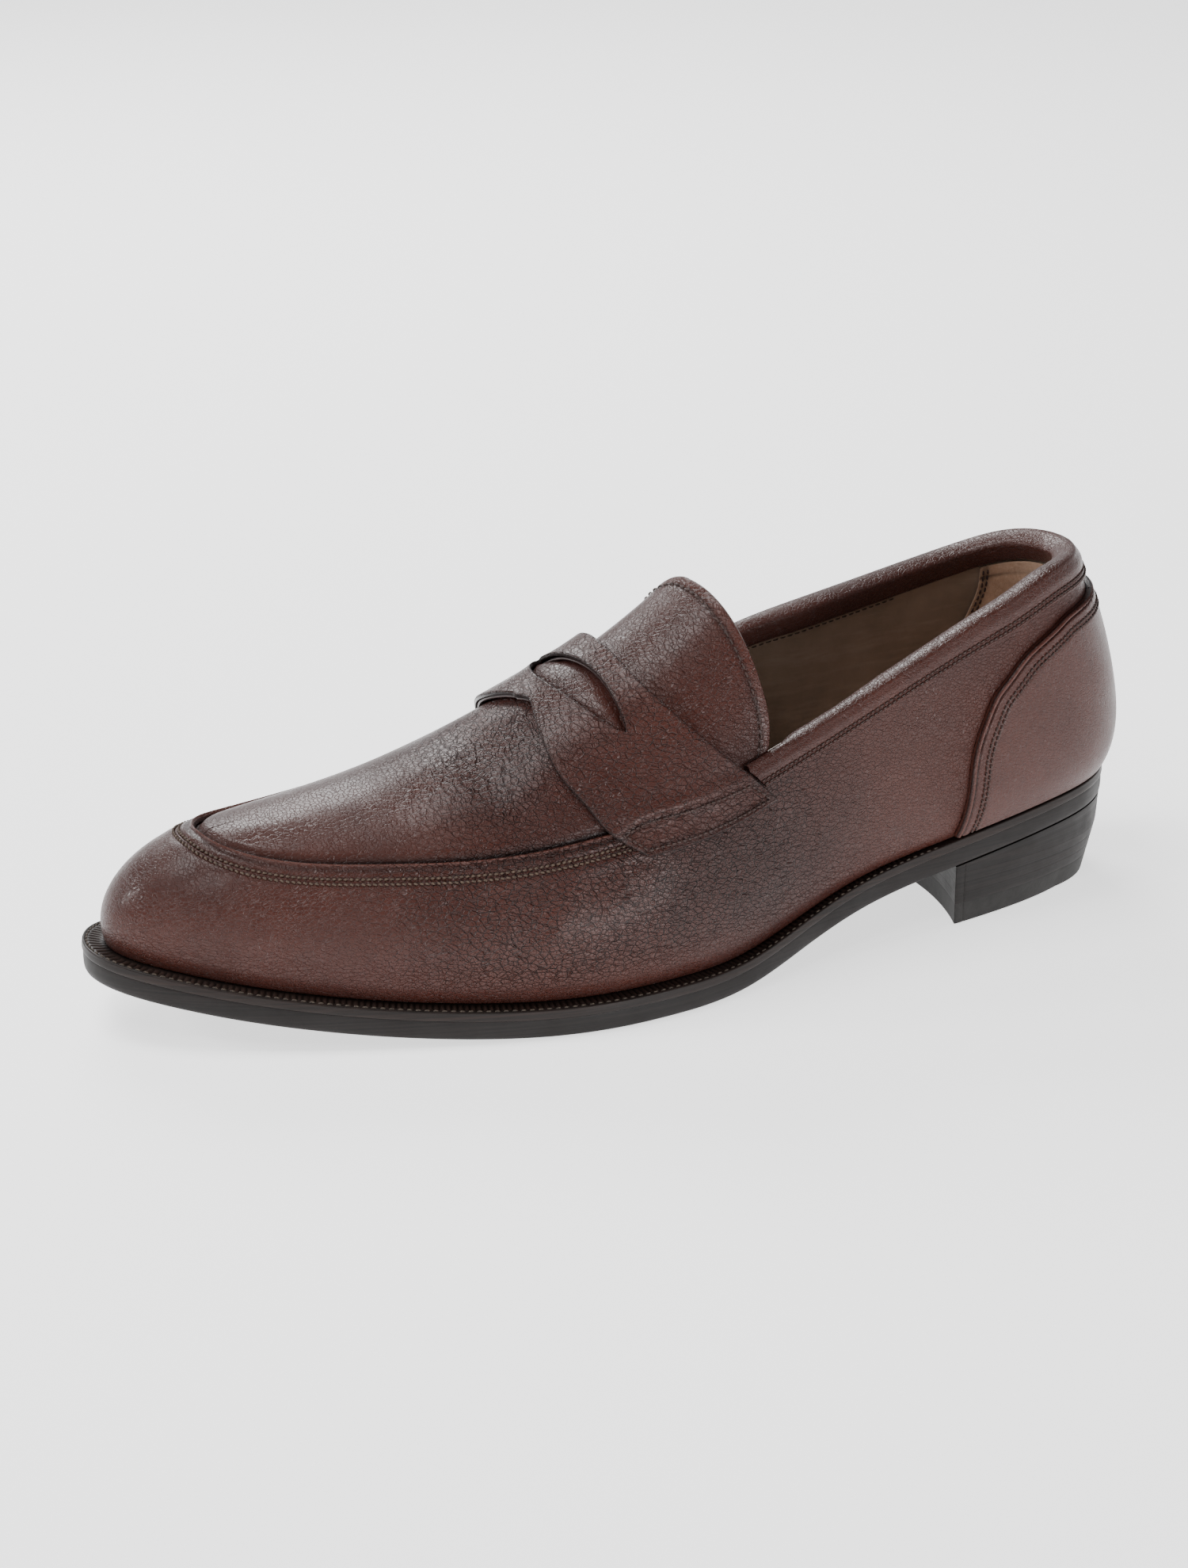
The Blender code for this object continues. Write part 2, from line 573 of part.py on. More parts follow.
def slot_cutter():
    """A lens-shaped punch that stands across the ridge, pointed at its outer end."""
    x = np.sin(np.linspace(-np.pi / 2, np.pi / 2, 13))
    full = (1 - x) ** 0.7 * (1 + x) ** 0.5
    ahead = np.stack([x * SLOT_HALF, SLOT_FRONT * full], 1)
    behind = np.stack([x * SLOT_HALF, -SLOT_BACK * full], 1)
    ring = np.concatenate([ahead, behind[-2:0:-1]])
    turn = np.array([[math.sin(SLOT_TURN), math.cos(SLOT_TURN)], [math.cos(SLOT_TURN), -math.sin(SLOT_TURN)]])
    plan = ring @ turn + SLOT_CENTRE
    mesh = bmesh.new()
    sides = [[mesh.verts.new(to_world(np.array([*p, z]))) for p in plan] for z in (SLOT_LOW, SLOT_HIGH)]
    for j in range(len(plan)):
        k = (j + 1) % len(plan)
        mesh.faces.new((sides[0][j], sides[0][k], sides[1][k], sides[1][j]))
    for side in sides:
        mesh.faces.new(side)
    bmesh.ops.recalc_face_normals(mesh, faces=mesh.faces)
    cutter = finish("slot_cutter", mesh, "upper_leather")
    SHOE.objects.unlink(cutter)
    CUTTERS.objects.link(cutter)
    cutter.hide_render = True
    cutter.display_type = "WIRE"
    return cutter


def strap_sheet(name, depth, thickness, slot, margin, cutter):
    v, w = strap_grid(margin)
    obj = sheet(name, layer(v, w, depth)[::-1], slot, thickness)
    cut = obj.modifiers.new("slot", "BOOLEAN")
    cut.operation = "DIFFERENCE"
    cut.solver = "EXACT"
    cut.object = cutter


def saddle_strap():
    cutter = slot_cutter()
    under = -GAP - STRAP_LINING
    strap_sheet("saddle_strap_lining", under, STRAP_LINING, "lining_leather", BACKING_MARGIN, cutter)
    strap_sheet("saddle_strap", under - STRAP_GAP - STRAP, STRAP, "upper_leather", 0.0, cutter)


# ==== the bottom ===========================================================================================
def middle_line(s):
    """The line midway between the sides, kept clear of the rounded ends."""
    run = -soft_min(-soft_min(s, TOE_S - 18, 30), -18, 30)
    return (outline(outer_v(run)) + outline(inner_v(run))) / 2


def plate(name, slot, reach, top, thickness, low=0.0):
    """A sheet under the foot from distance low: the feather outline grown by reach, its upper face at
    height top over the feather."""
    s = stations(low, TOE_S)
    halves = []
    for place, shares in ((outer_v, (1, 0.55, 0)), (inner_v, (0, 0.55, 1))):
        v = place(s)
        edge = outline(v) + outward(v) * reach(s)[:, None]
        middle = middle_line(s)
        halves += [middle + (edge - middle) * share for share in shares]
    plan = np.stack(halves, 1)
    points = np.concatenate([plan, feather_height(plan[..., :1]) + top], -1)
    return sheet(name, points, slot, thickness)


def welt():
    v = ring_of_v()
    reach = welt_reach(outline(v)[:, 0])
    across = np.stack([reach, (reach - WELT_HIDDEN) / 2, np.full(len(v), -WELT_HIDDEN)], 1)
    plan = outline(v)[:, None] + outward(v)[:, None] * across[..., None]
    points = np.concatenate([plan, feather_height(plan[..., :1]) + WELT_TOP], -1)
    sheet("welt", points, "sole_leather", WELT, ring=True)


def sole_bottom(s):
    return feather_height(s) + WELT_TOP - WELT - 2 * SOLE_GAP - OUTSOLE


def soles():
    """The outsole under the welt, and the plates that fill the shoe's floor inside the welt."""
    under_welt, insole_top = WELT_TOP - WELT - SOLE_GAP, GAP + INSOLE
    plate("outsole", "sole_leather", lambda s: welt_reach(s) - SOLE_INSET, under_welt, OUTSOLE)
    plate("insole", "insole_leather", lambda s: 0 * s - INSOLE_INSET, insole_top, INSOLE)
    plate("sock_liner", "lining_leather", lambda s: 0 * s - SOCK_INSET, insole_top + GAP + SOCK, SOCK)
    plate("cork_filler", "cork", lambda s: 0 * s - CORK_INSET, 0.0, CORK, CORK_REAR)


def shank():
    """A spring-steel strip under the waist, widest in its middle and bent to the arch."""
    share = np.linspace(0, 1, 13)
    s = SHANK_REAR + (SHANK_FRONT - SHANK_REAR) * share
    middle = (outline(outer_v(s)) + outline(inner_v(s))) / 2
    half = SHANK_HALF + SHANK_SWELL * np.sin(np.pi * share)
    plan = np.stack([middle + np.outer(half * side, [0, 1]) for side in (1, 0, -1)], 1)
    z = np.repeat((feather_height(s) - SHANK_DROP)[:, None], 3, 1)
    sheet("shank", np.concatenate([plan, z[..., None]], -1), "steel", SHANK)


def heel_outline(height):
    """Heel section at a height: it narrows downwards, most at the back, and its breast is hollow."""
    down = 1 - height / HEEL_TOP
    s = stations(0.0, HEEL_BREAST)
    v = round_heel(s)
    at = outline(v)[:, 0]
    reach = welt_reach(at) - HEEL_INSET - down * np.interp(at, *zip(*HEEL_TAPER))
    rim = outline(v) + outward(v) * reach[:, None]
    across = np.linspace(0, 1, 9)[1:-1, None]
    breast = rim[-1] + (rim[0] - rim[-1]) * across
    breast[:, 0] -= BREAST_HOLLOW * 4 * (across * (1 - across))[:, 0]
    return np.concatenate([rim, breast])


def lift(name, slot, low, high):
    """One heel layer between two heights, given as numbers or as functions of distance from the heel."""
    rings = []
    for level in (low, high):
        plan = heel_outline(HEEL_TOP if callable(level) else level)
        z = level(plan[:, 0]) if callable(level) else np.full(len(plan), level)
        rings.append(np.concatenate([plan, z[:, None]], 1))
    mesh = bmesh.new()
    sides = [[mesh.verts.new(p) for p in to_world(ring)] for ring in rings]
    count = len(sides[0])
    for j in range(count):
        k = (j + 1) % count
        mesh.faces.new((sides[0][j], sides[0][k], sides[1][k], sides[1][j]))
    for side in sides:
        bmesh.ops.triangulate(mesh, faces=[mesh.faces.new(side)])
    bmesh.ops.recalc_face_normals(mesh, faces=mesh.faces)
    finish(name, mesh, slot)


def heel():
    lift("heel_top_piece", "rubber", 0.0, HEEL_TOP_PIECE)
    low = HEEL_TOP_PIECE + LIFT_GAP
    for number in (1, 2, 3):
        lift(f"heel_lift_{number}", "sole_leather", low, low + HEEL_LIFT)
        low += HEEL_LIFT + LIFT_GAP
    lift("heel_seat_wedge", "sole_leather", low, sole_bottom)


def main():
    vamp_wrap()
    apron_plug()
    tongue()
    tongue_lining()
    saddle_strap()
    heel_counter_cover()
    topline_collar()
    vamp_lining()
    quarter_lining("quarter_lining_outer", outer_v)
    quarter_lining("quarter_lining_inner", inner_v)
    heel_counter_stiffener()
    toe_puff()
    heel_grip()
    welt()
    soles()
    shank()
    heel()


clear_scene()
SHOE = collection("penny_loafer")
CUTTERS = collection("cutters")
main()
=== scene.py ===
"""Looks of the penny loafer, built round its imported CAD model.

Every visible piece is a finer version of its CAD node on the same form, the last. A place on the last
is (v, w): v runs once round the feather edge from the back of the heel along the outer side, the toe
and the inner side, w runs from the feather (0) to the ridge (1). Lengths are in millimetres from the
heel, to the outer side and up, until a mesh is made.
"""

import json
import math

import bmesh
import bpy
import numpy as np
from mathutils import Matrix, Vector

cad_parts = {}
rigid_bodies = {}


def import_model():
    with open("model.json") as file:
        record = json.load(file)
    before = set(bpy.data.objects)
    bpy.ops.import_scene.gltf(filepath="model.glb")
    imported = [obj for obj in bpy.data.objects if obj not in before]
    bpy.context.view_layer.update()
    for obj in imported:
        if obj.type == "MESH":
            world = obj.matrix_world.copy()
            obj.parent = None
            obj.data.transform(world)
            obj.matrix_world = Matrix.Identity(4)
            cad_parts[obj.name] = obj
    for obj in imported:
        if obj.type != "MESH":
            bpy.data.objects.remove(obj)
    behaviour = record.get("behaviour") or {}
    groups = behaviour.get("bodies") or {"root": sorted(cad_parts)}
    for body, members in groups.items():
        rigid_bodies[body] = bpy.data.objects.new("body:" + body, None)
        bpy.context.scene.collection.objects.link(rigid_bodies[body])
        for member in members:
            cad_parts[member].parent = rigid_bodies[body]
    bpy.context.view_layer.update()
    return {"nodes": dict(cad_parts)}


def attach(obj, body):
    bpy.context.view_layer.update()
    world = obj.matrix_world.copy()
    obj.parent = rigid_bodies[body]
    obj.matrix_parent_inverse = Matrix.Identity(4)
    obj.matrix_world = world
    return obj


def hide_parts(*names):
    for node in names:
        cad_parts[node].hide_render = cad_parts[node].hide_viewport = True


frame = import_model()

MM = 0.001

# ---- the last: plan outline, heights and section shape -------------------------------------------
FEATHER_OUTLINE = [
    (0, 0), (6.5, 15.5), (26, 25.5), (60, 30), (100, 34.5), (140, 44), (174, 47),
    (214, 37.6), (250, 24), (279, 9), (292.5, -7.5), (287, -22), (266, -32), (232, -39.5),
    (200, -41.5), (165, -34.5), (125, -26), (85, -25), (52, -27), (25, -26), (6, -15.5),
]
FEATHER_HEIGHT = [
    (-5, 33), (30, 30.2), (65, 25.2), (90, 21), (112, 14.8), (132, 9.7), (155, 8.7), (190, 8.7),
    (225, 10.8), (255, 15), (280, 20), (298, 24),
]
RIDGE_HEIGHT = [
    (-20, 132), (40, 130), (90, 123), (115, 113), (135, 100.5), (150, 90.5), (170, 79.5),
    (190, 70), (210, 62), (230, 57), (250, 54), (270, 51.2), (285, 48.5), (300, 45),
]
RIDGE_SIDE = [(0, 0.5), (60, 1.5), (120, 2), (160, 1), (200, -1.5), (230, -4), (262, -6.5), (290, -8)]
PLAN_FULLNESS = [
    (0, 1.8), (16, 2.3), (40, 2.85), (60, 3), (110, 2.7), (150, 2.3), (200, 2.2), (250, 2.5), (290, 2.9),
]
HEIGHT_FULLNESS = [(0, 3), (60, 3), (110, 2.6), (150, 2.1), (200, 2), (250, 2.1), (290, 2.3)]
BULGE = [(0, 4), (40, 3.5), (80, 3), (120, 3), (180, 3.5), (220, 3), (260, 2.2), (290, 2)]
BULGE_HEIGHT = 16.0
HEEL_LEAN, LEAN_HEIGHT, LEAN_REACH = 4.0, 60.0, 45.0
RIDGE_REAR, RIDGE_FRONT = 48.0, 256.0
SHOE_MIDDLE, SHOE_SIDE = 146.6, 2.5

# ---- edges of the upper's pieces -----------------------------------------------------------------
WRAP_EDGE = [
    (0, 95.2), (0.02, 95.8), (0.04, 96), (0.06, 94.9), (0.08, 91.7), (0.1, 87.6), (0.139, 78.1),
    (0.183, 68.3), (0.222, 61), (0.25, 55.7), (0.29, 50.6), (0.323, 47.6), (0.351, 46.4),
    (0.381, 46.4), (0.413, 47.1), (0.438, 48.5), (0.46, 50.1), (0.48, 51.1), (0.5, 51.5),
    (0.52, 51.3), (0.54, 50.8), (0.56, 50), (0.58, 49.5), (0.61, 49.8), (0.65, 51.3), (0.7, 54),
    (0.74, 59), (0.778, 66.5), (0.8, 72), (0.82, 75.9), (0.86, 80.4), (0.9, 84), (0.94, 88.7),
    (0.96, 92), (0.98, 94.3), (1, 95.2),
]
TONGUE_END = [(0, 140), (0.25, 135), (0.342, 126.3), (0.41, 121.4), (0.5, 121.2), (0.67, 124.8),
              (0.86, 128.2), (1, 129.6)]
TONGUE_END_INNER = [(0, 143), (0.25, 140), (0.342, 137), (0.41, 135), (0.5, 134), (0.67, 133.6),
                    (0.86, 132), (1, 129.6)]
STRAP_REAR = [(0.2, 120.6), (0.341, 132), (0.45, 139.7), (0.598, 147.5), (0.778, 153.1), (1, 154.6)]
STRAP_FRONT = [(0.29, 161), (0.313, 162.6), (0.387, 169.7), (0.49, 174.8), (0.601, 178.9),
               (0.72, 180), (0.8, 179.4), (0.893, 177.8), (0.951, 177), (1, 178.7)]
STRAP_FRONT_INNER = [(0.29, 161), (0.387, 169.7), (0.49, 174.8), (0.601, 178.9), (0.7, 181.2),
                     (0.83, 182.3), (0.92, 180.8), (1, 178.7)]
STRAP_FOOT_REAR, STRAP_FOOT_FRONT = 0.219, 0.313
COVER_EDGE = [(24, 0.116), (40, 0.1115), (50, 0.1095), (55, 0.107), (62, 0.1016), (66.6, 0.0968),
              (70.5, 0.09), (77.2, 0.0756), (81.8, 0.0576), (84, 0.041), (85, 0.022)]
COVER_FALL, COVER_FALL_REACH, COVER_FALL_HEIGHTS = 3.0, 0.06, (40, 80)
COVER_FOOT, COVER_TOP = 28.0, COVER_EDGE[-1][0]
PLUG_REAR, PLUG_TIP, TONGUE_FRONT = 158.0, 4.0, 159.5
GRIP_EDGE = [(30, 62), (45, 50), (55.5, 39), (63.6, 31), (69.6, 27), (75.4, 24), (81, 21.5), (88, 20)]
GRIP_FOOT, GRIP_TOP, GRIP_CLEAR = 36.0, 88.0, 1.0
COUNTER_REACH = 78.0
LINING_SPLIT = 150.0
SLOT_CENTRE, SLOT_HALF, SLOT_TURN = (163.5, 9.0), 20.5, math.radians(-8)
SLOT_BACK, SLOT_FRONT = 1.8, 7.4

# ---- thicknesses ---------------------------------------------------------------------------------
UPPER, PLUG, LINING, STIFFENER, PUFF, SUEDE, COVER, BINDING = 1.3, 1.3, 1.0, 1.1, 0.8, 0.8, 1.3, 1.1
STRAP, STRAP_LINING = 1.2, 0.7
GAP, COVER_GAP, STRAP_GAP = 0.4, 0.8, 0.3
STRAP_UNDER = -GAP - STRAP_LINING - STRAP_GAP
PLUG_LOW, TONGUE_LIFT, COVER_SETTLE, COVER_BACK, GRIP_LIFT = 0.3, 0.35, 0.35, 0.1, 0.05
WELT, OUTSOLE, INSOLE, SOCK = 2.7, 5.1, 2.5, 0.9
WELT_TOP = -0.5
WELT_REACH = [(0, 2), (70, 2), (110, 3), (150, 4.5), (200, 5), (260, 5.5), (295, 6)]
COLLAR_WIDTH, COLLAR_NARROW, COLLAR_INNER, COLLAR_CROWN = 7.9, 0.82, 5.0, 1.5
COLLAR_BACK, COLLAR_SLANT = 0.15, 22.0
STRAP_CLEAR = 0.6
SOCK_INSET, SOCK_RISE = 6.6, 0.35
OUTSOLE_GAP, OUTSOLE_INSET, HEEL_INSET, HEEL_DROP = 0.3, 0.4, 0.5, 0.6

# ---- distances from the heel over which a piece gains or loses a layer or part of its width ------
PLUG_ROOM, PUFF_ROOM, COUNTER_ROOM = (107, 119), (216, 236), (COUNTER_REACH + 2, COUNTER_REACH + 22)
COLLAR_NARROWS, COLLAR_SHORTENS, COLLAR_ENDS = (40, 80), (103, 115), (110, 121)
LINING_SEWN, WELT_TOOLED, WELT_SEWN = (50, 104), (62, 80), 66
APRON_SEWN = (0.262, 0.738)

# ---- heel ----------------------------------------------------------------------------------------
HEEL_TAPER = [(0, 4), (20, 4.5), (60, 0.2)]
HEEL_TOP, HEEL_BREAST, BREAST_HOLLOW = 18.0, 60.0, 5.0
HEEL_TOP_PIECE, HEEL_LIFT, LIFT_GAP, LIFT_CLOSED = 5.8, 2.9, 0.2, 0.45

# ---- sewing and tooling: distances from an edge, and pitches -------------------------------------
APRON_ROWS, APRON_PITCH = (4.2, 5.6), 1.5
COLLAR_ROWS, COLLAR_PITCH = (6.7, 5.3), 1.6
COVER_ROWS, COVER_PITCH = (4.2, 5.5), 1.6
TONGUE_ROW, TONGUE_PITCH = 3.4, 2.4
STRAP_ROWS, STRAP_PITCH = (2.1, 9.2), 1.6
GRIP_ROWS, GRIP_PITCH = (1.1, 2.6), 2.0
LINING_ROW, LINING_PITCH = 1.7, 2.2
WELT_ROW, WELT_PITCH, NOTCH_PITCH = 1.1, 2.3, 1.6
WELT_BAND, WELT_HOLD = 7.0, 1.5
WHEEL_STEP, WHEEL_DEPTH = 0.7, 0.12
RIM_BULGE = 0.28

# ---- camera --------------------------------------------------------------------------------------
CAMERA_AIM = (-0.0225, 0.0006, 0.0385)
CAMERA_TURN, CAMERA_RISE = math.radians(64), math.radians(22)
CAMERA_DISTANCE, CAMERA_LENS, CAMERA_SENSOR = 1.2, 100.0, 36.0

# ---- light: name, place, aim, size in metres and power in watts ----------------------------------
LIGHTS = [
    ("back_light", (-1.05, 0.12, 0.75), (0, 0, 0.05), (0.7, 0.45), 12),
    ("top_light", (-0.1, -0.45, 1.2), (0, 0.05, 0.03), (0.6, 0.6), 12),
    ("key_light", (0.6, -0.7, 1.1), (0, 0.05, 0.03), (0.3, 0.3), 3),
    ("side_light", (1.4, 0.3, 0.12), (0, 0, 0.04), (0.8, 0.22), 8),
    ("toe_light", (-0.38, -1.0, 0.52), (0, -0.12, 0.03), (0.2, 0.2), 5),
]
FLOOR_HALF, FLOOR_LEVEL, FLOOR_GLOW = 5.0, -0.0004, 1.4
SKY_COLOUR, SKY_FADE, SKY_STRENGTH = (0.97, 0.98, 1.0, 1.0), (0.12, 0.35), (0.9, 0.2)

# ---- colours: middle, dark and, where there is one, light ----------------------------------------
CALF = (0.055, 0.0168, 0.0120), (0.031, 0.0094, 0.0070), (0.088, 0.0280, 0.0195)
# The strap's calf is the upper's calf made a little lighter, painting more light onto the strap.
STRAP_CALF_LIT = (0.06, 0.0185, 0.0132), (0.033, 0.0102, 0.0076), (0.095, 0.031, 0.022)
TAN = (0.27, 0.195, 0.145), (0.18, 0.128, 0.094), (0.35, 0.265, 0.205)
SUEDE_TAN = (0.50, 0.32, 0.22), (0.38, 0.235, 0.155), (0.58, 0.40, 0.28)
# The needle holes' near-black colour is painted shade.
EDGE_PAINT, UNDERSIDE, NEEDLE_HOLE_SHADE = (0.012, 0.0075, 0.0075), (0.05, 0.03, 0.028), (0.010, 0.006, 0.005)
KHAKI = (0.085, 0.053, 0.034), (0.042, 0.026, 0.017)
BROWN = (0.05, 0.023, 0.017), (0.022, 0.0105, 0.0085)
DIM = (0.075, 0.055, 0.038), (0.03, 0.02, 0.015)
WELT_DYE = (0.022, 0.013, 0.0105), (0.009, 0.006, 0.005)
SOLE_DYE = (0.0125, 0.009, 0.008), (0.006, 0.0045, 0.004)
RUBBER = (0.02, 0.018, 0.017), (0.012, 0.011, 0.01)
STIFFENER_BOARD = (0.6, 0.53, 0.42), (0.5, 0.44, 0.34)
INSOLE_BOARD = (0.42, 0.27, 0.16), (0.33, 0.2, 0.11)
CORK = (0.4, 0.25, 0.14), (0.2, 0.11, 0.06)
STEEL = (0.56, 0.56, 0.57), (0.48, 0.48, 0.5)


# ==== curves ======================================================================================
def cubic(xs, ys, closed=False):
    """Cubic spline through the points: straight beyond free ends, or closed on itself."""
    xs = np.asarray(xs, float)
    ys = np.asarray(ys, float).reshape(len(xs), -1)
    step = np.diff(xs)
    slope = np.diff(ys, axis=0) / step[:, None]
    count = len(xs)
    matrix = np.zeros((count, count))
    right = np.zeros(ys.shape)
    for i in range(1, count - 1):
        matrix[i, i - 1 : i + 2] = step[i - 1], 2 * (step[i - 1] + step[i]), step[i]
        right[i] = 6 * (slope[i] - slope[i - 1])
    matrix[0, 0] = 1
    matrix[-1, -1] = 1
    if closed:
        matrix[0, -1] = -1
        matrix[-1, [0, 1, -2, -1]] = 2 * step[0], step[0], step[-1], 2 * step[-1]
        right[-1] = 6 * (slope[0] - slope[-1])
    bend = np.linalg.solve(matrix, right)
    first = slope[0] - step[0] * (2 * bend[0] + bend[1]) / 6
    last_slope = slope[-1] + step[-1] * (bend[-2] + 2 * bend[-1]) / 6

    def value(x):
        x = np.asarray(x, float)
        inside = np.clip(x.ravel(), xs[0], xs[-1])
        k = np.clip(np.searchsorted(xs, inside) - 1, 0, count - 2)
        after = (inside - xs[k])[:, None]
        before = (xs[k + 1] - inside)[:, None]
        h = step[k][:, None]
        y = (bend[k] * before**3 + bend[k + 1] * after**3) / (6 * h)
        y += (ys[k] / h - bend[k] * h / 6) * before
        y += (ys[k + 1] / h - bend[k + 1] * h / 6) * after
        beyond = (x.ravel() - inside)[:, None]
        y += beyond * np.where(beyond < 0, first, last_slope)
        return y.reshape(x.shape + (ys.shape[1:] if ys.shape[1] > 1 else ()))

    return value


def table(points):
    return cubic(*zip(*points))


def closed_outline(points):
    """The smooth closed curve through the points, as a function of the share of its length."""
    ring = np.array(points + points[:1], float)
    chord = np.concatenate([[0], np.cumsum(np.hypot(*np.diff(ring, axis=0).T))])
    curve = cubic(chord, ring, closed=True)
    fine = np.linspace(0, chord[-1], 4001)
    run = np.concatenate([[0], np.cumsum(np.hypot(*np.diff(curve(fine), axis=0).T))])
    return lambda v: curve(np.interp((np.asarray(v, float) % 1) * run[-1], run, fine))


outline = closed_outline(FEATHER_OUTLINE)
feather_height, ridge_height, ridge_side = map(table, (FEATHER_HEIGHT, RIDGE_HEIGHT, RIDGE_SIDE))
plan_fullness, height_fullness, bulge_depth = map(table, (PLAN_FULLNESS, HEIGHT_FULLNESS, BULGE))
wrap_edge, cover_edge, grip_edge = map(table, (WRAP_EDGE, COVER_EDGE, GRIP_EDGE))
tongue_end, tongue_end_inner = table(TONGUE_END), table(TONGUE_END_INNER)
strap_rear, strap_front, strap_front_inner = map(table, (STRAP_REAR, STRAP_FRONT, STRAP_FRONT_INNER))


def welt_reach(s):
    return np.interp(s, *zip(*WELT_REACH))


def soft_min(a, b, width):
    share = np.clip(0.5 + 0.5 * (b - a) / width, 0, 1)
    return b * (1 - share) + a * share - width * share * (1 - share)


def smooth_step(x, low, high):
    share = np.clip((x - low) / (high - low), 0, 1)
    return share * share * (3 - 2 * share)


def hump(x, centre, width):
    return np.exp(-(((x - centre) / width) ** 2))


def run_along(points, axis=0):
    """Distance travelled along rows of points, from the first on."""
    steps = np.linalg.norm(np.diff(points, axis=axis), axis=-1)
    run = np.cumsum(steps, axis=axis)
    return np.concatenate([np.zeros_like(np.take(run, [0], axis)), run], axis)


# ==== the last ====================================================================================
def outward(v):
    """Direction away from the foot, in plan."""
    along = outline(v + 1e-4) - outline(v - 1e-4)
    away = np.stack([-along[..., 1], along[..., 0]], -1)
    return away / np.linalg.norm(away, axis=-1, keepdims=True)


def ridge_point(s):
    run = -soft_min(-soft_min(s, RIDGE_FRONT, 60), -RIDGE_REAR, 50)
    return np.stack([run, ridge_side(run)], -1)


def last(v, w):
    """Point of the last as (distance from heel, side, height)."""
    foot = outline(v)
    s = foot[..., 0]
    inwards = 1 - np.clip(np.cos(w * np.pi / 2), 0, 1) ** (2 / plan_fullness(s))
    upwards = np.clip(np.sin(w * np.pi / 2), 0, 1) ** (2 / height_fullness(s))
    plan = foot + (ridge_point(s) - foot) * inwards[..., None]
    base = feather_height(s)
    z = base + (ridge_height(plan[..., 0]) - base) * upwards
    rise = np.clip((z - base) / BULGE_HEIGHT, 0, None)
    plan = plan + outward(v) * (bulge_depth(s) * rise * np.exp(1 - rise))[..., None]
    lean = HEEL_LEAN * np.clip((z - base) / LEAN_HEIGHT, 0, 1.2) ** 2
    plan[..., 0] += lean * (1 - smooth_step(s, 0, LEAN_REACH))
    return np.concatenate([plan, z[..., None]], -1)


def facing(v, w):
    """Outward direction of the last."""
    inner = np.clip(w, 0.002, 0.994)
    along = last(v + 1e-3, inner) - last(v - 1e-3, inner)
    up = last(v, inner + 1e-3) - last(v, inner - 1e-3)
    normal = np.cross(up, along)
    return normal / np.linalg.norm(normal, axis=-1, keepdims=True)


def layer(v, w, depth):
    """Point at this depth under the outer face of the wrap. A negative depth lies over it."""
    v, w, depth = np.broadcast_arrays(v, w, depth)
    return last(v, w) - facing(v, w) * depth[..., None]


FINE_V = np.linspace(0, 1, 2001)
FINE_S = outline(FINE_V)[:, 0]
TOE_V = FINE_V[np.argmax(FINE_S)]
TOE_S = FINE_S.max()


def outer_v(s):
    """Place on the outer side, by distance from the heel."""
    half = FINE_V <= TOE_V
    return np.interp(s, FINE_S[half], FINE_V[half])


def inner_v(s):
    half = FINE_V >= TOE_V
    return np.interp(s, FINE_S[half][::-1], FINE_V[half][::-1])


def w_at(v, height):
    """How far up the last each height is reached, for stations v and one row of heights per station."""
    v = np.asarray(v, float)
    height = np.asarray(height, float)
    rise = np.linspace(0, 1, 241)
    climbs = last(*np.broadcast_arrays(v[:, None], rise[None]))[..., 2]
    return np.array([np.interp(h, z, rise) for h, z in zip(height, climbs)])


TOP_V = np.linspace(0, 1, 1201)
TOP_W = w_at(TOP_V, wrap_edge(TOP_V)[:, None])[:, 0]


def wrap_top(v):
    """How far up the last the wrap's upper edge lies."""
    return np.interp(np.asarray(v) % 1, TOP_V, TOP_W)


def even_climb(x, fullness=2.3):
    """Place up the last at a share x of the way inwards over the foot."""
    return 2 / np.pi * np.arccos(np.clip(1 - x, 0, 1) ** (fullness / 2))


def inward_share(w, fullness=2.3):
    return 1 - np.cos(np.asarray(w) * np.pi / 2) ** (2 / fullness)


def below_edge(v, run, top=None):
    """Places up the last that lie run millimetres under the wrap's upper edge, measured on the surface.

    run is one row per station, or one row for all. A run past the feather stops there.
    """
    v = np.asarray(v, float)
    top = wrap_top(v) if top is None else top
    share = 1 - np.linspace(0, 1, 241) ** 1.3
    w = top[:, None] * share[None]
    length = run_along(last(np.broadcast_to(v[:, None], w.shape), w), 1)
    runs = np.broadcast_to(run, (len(v), np.shape(run)[-1]))
    return np.array([np.interp(r, a, b) for r, a, b in zip(runs, length, w)]), length[:, -1]


# ==== meshes ======================================================================================
def to_world(points):
    """Millimetres from the heel, to the side and up, as metres in Blender's axes."""
    x = points[..., 1] - SHOE_SIDE
    return np.stack([x, SHOE_MIDDLE - points[..., 0], points[..., 2]], -1) * MM


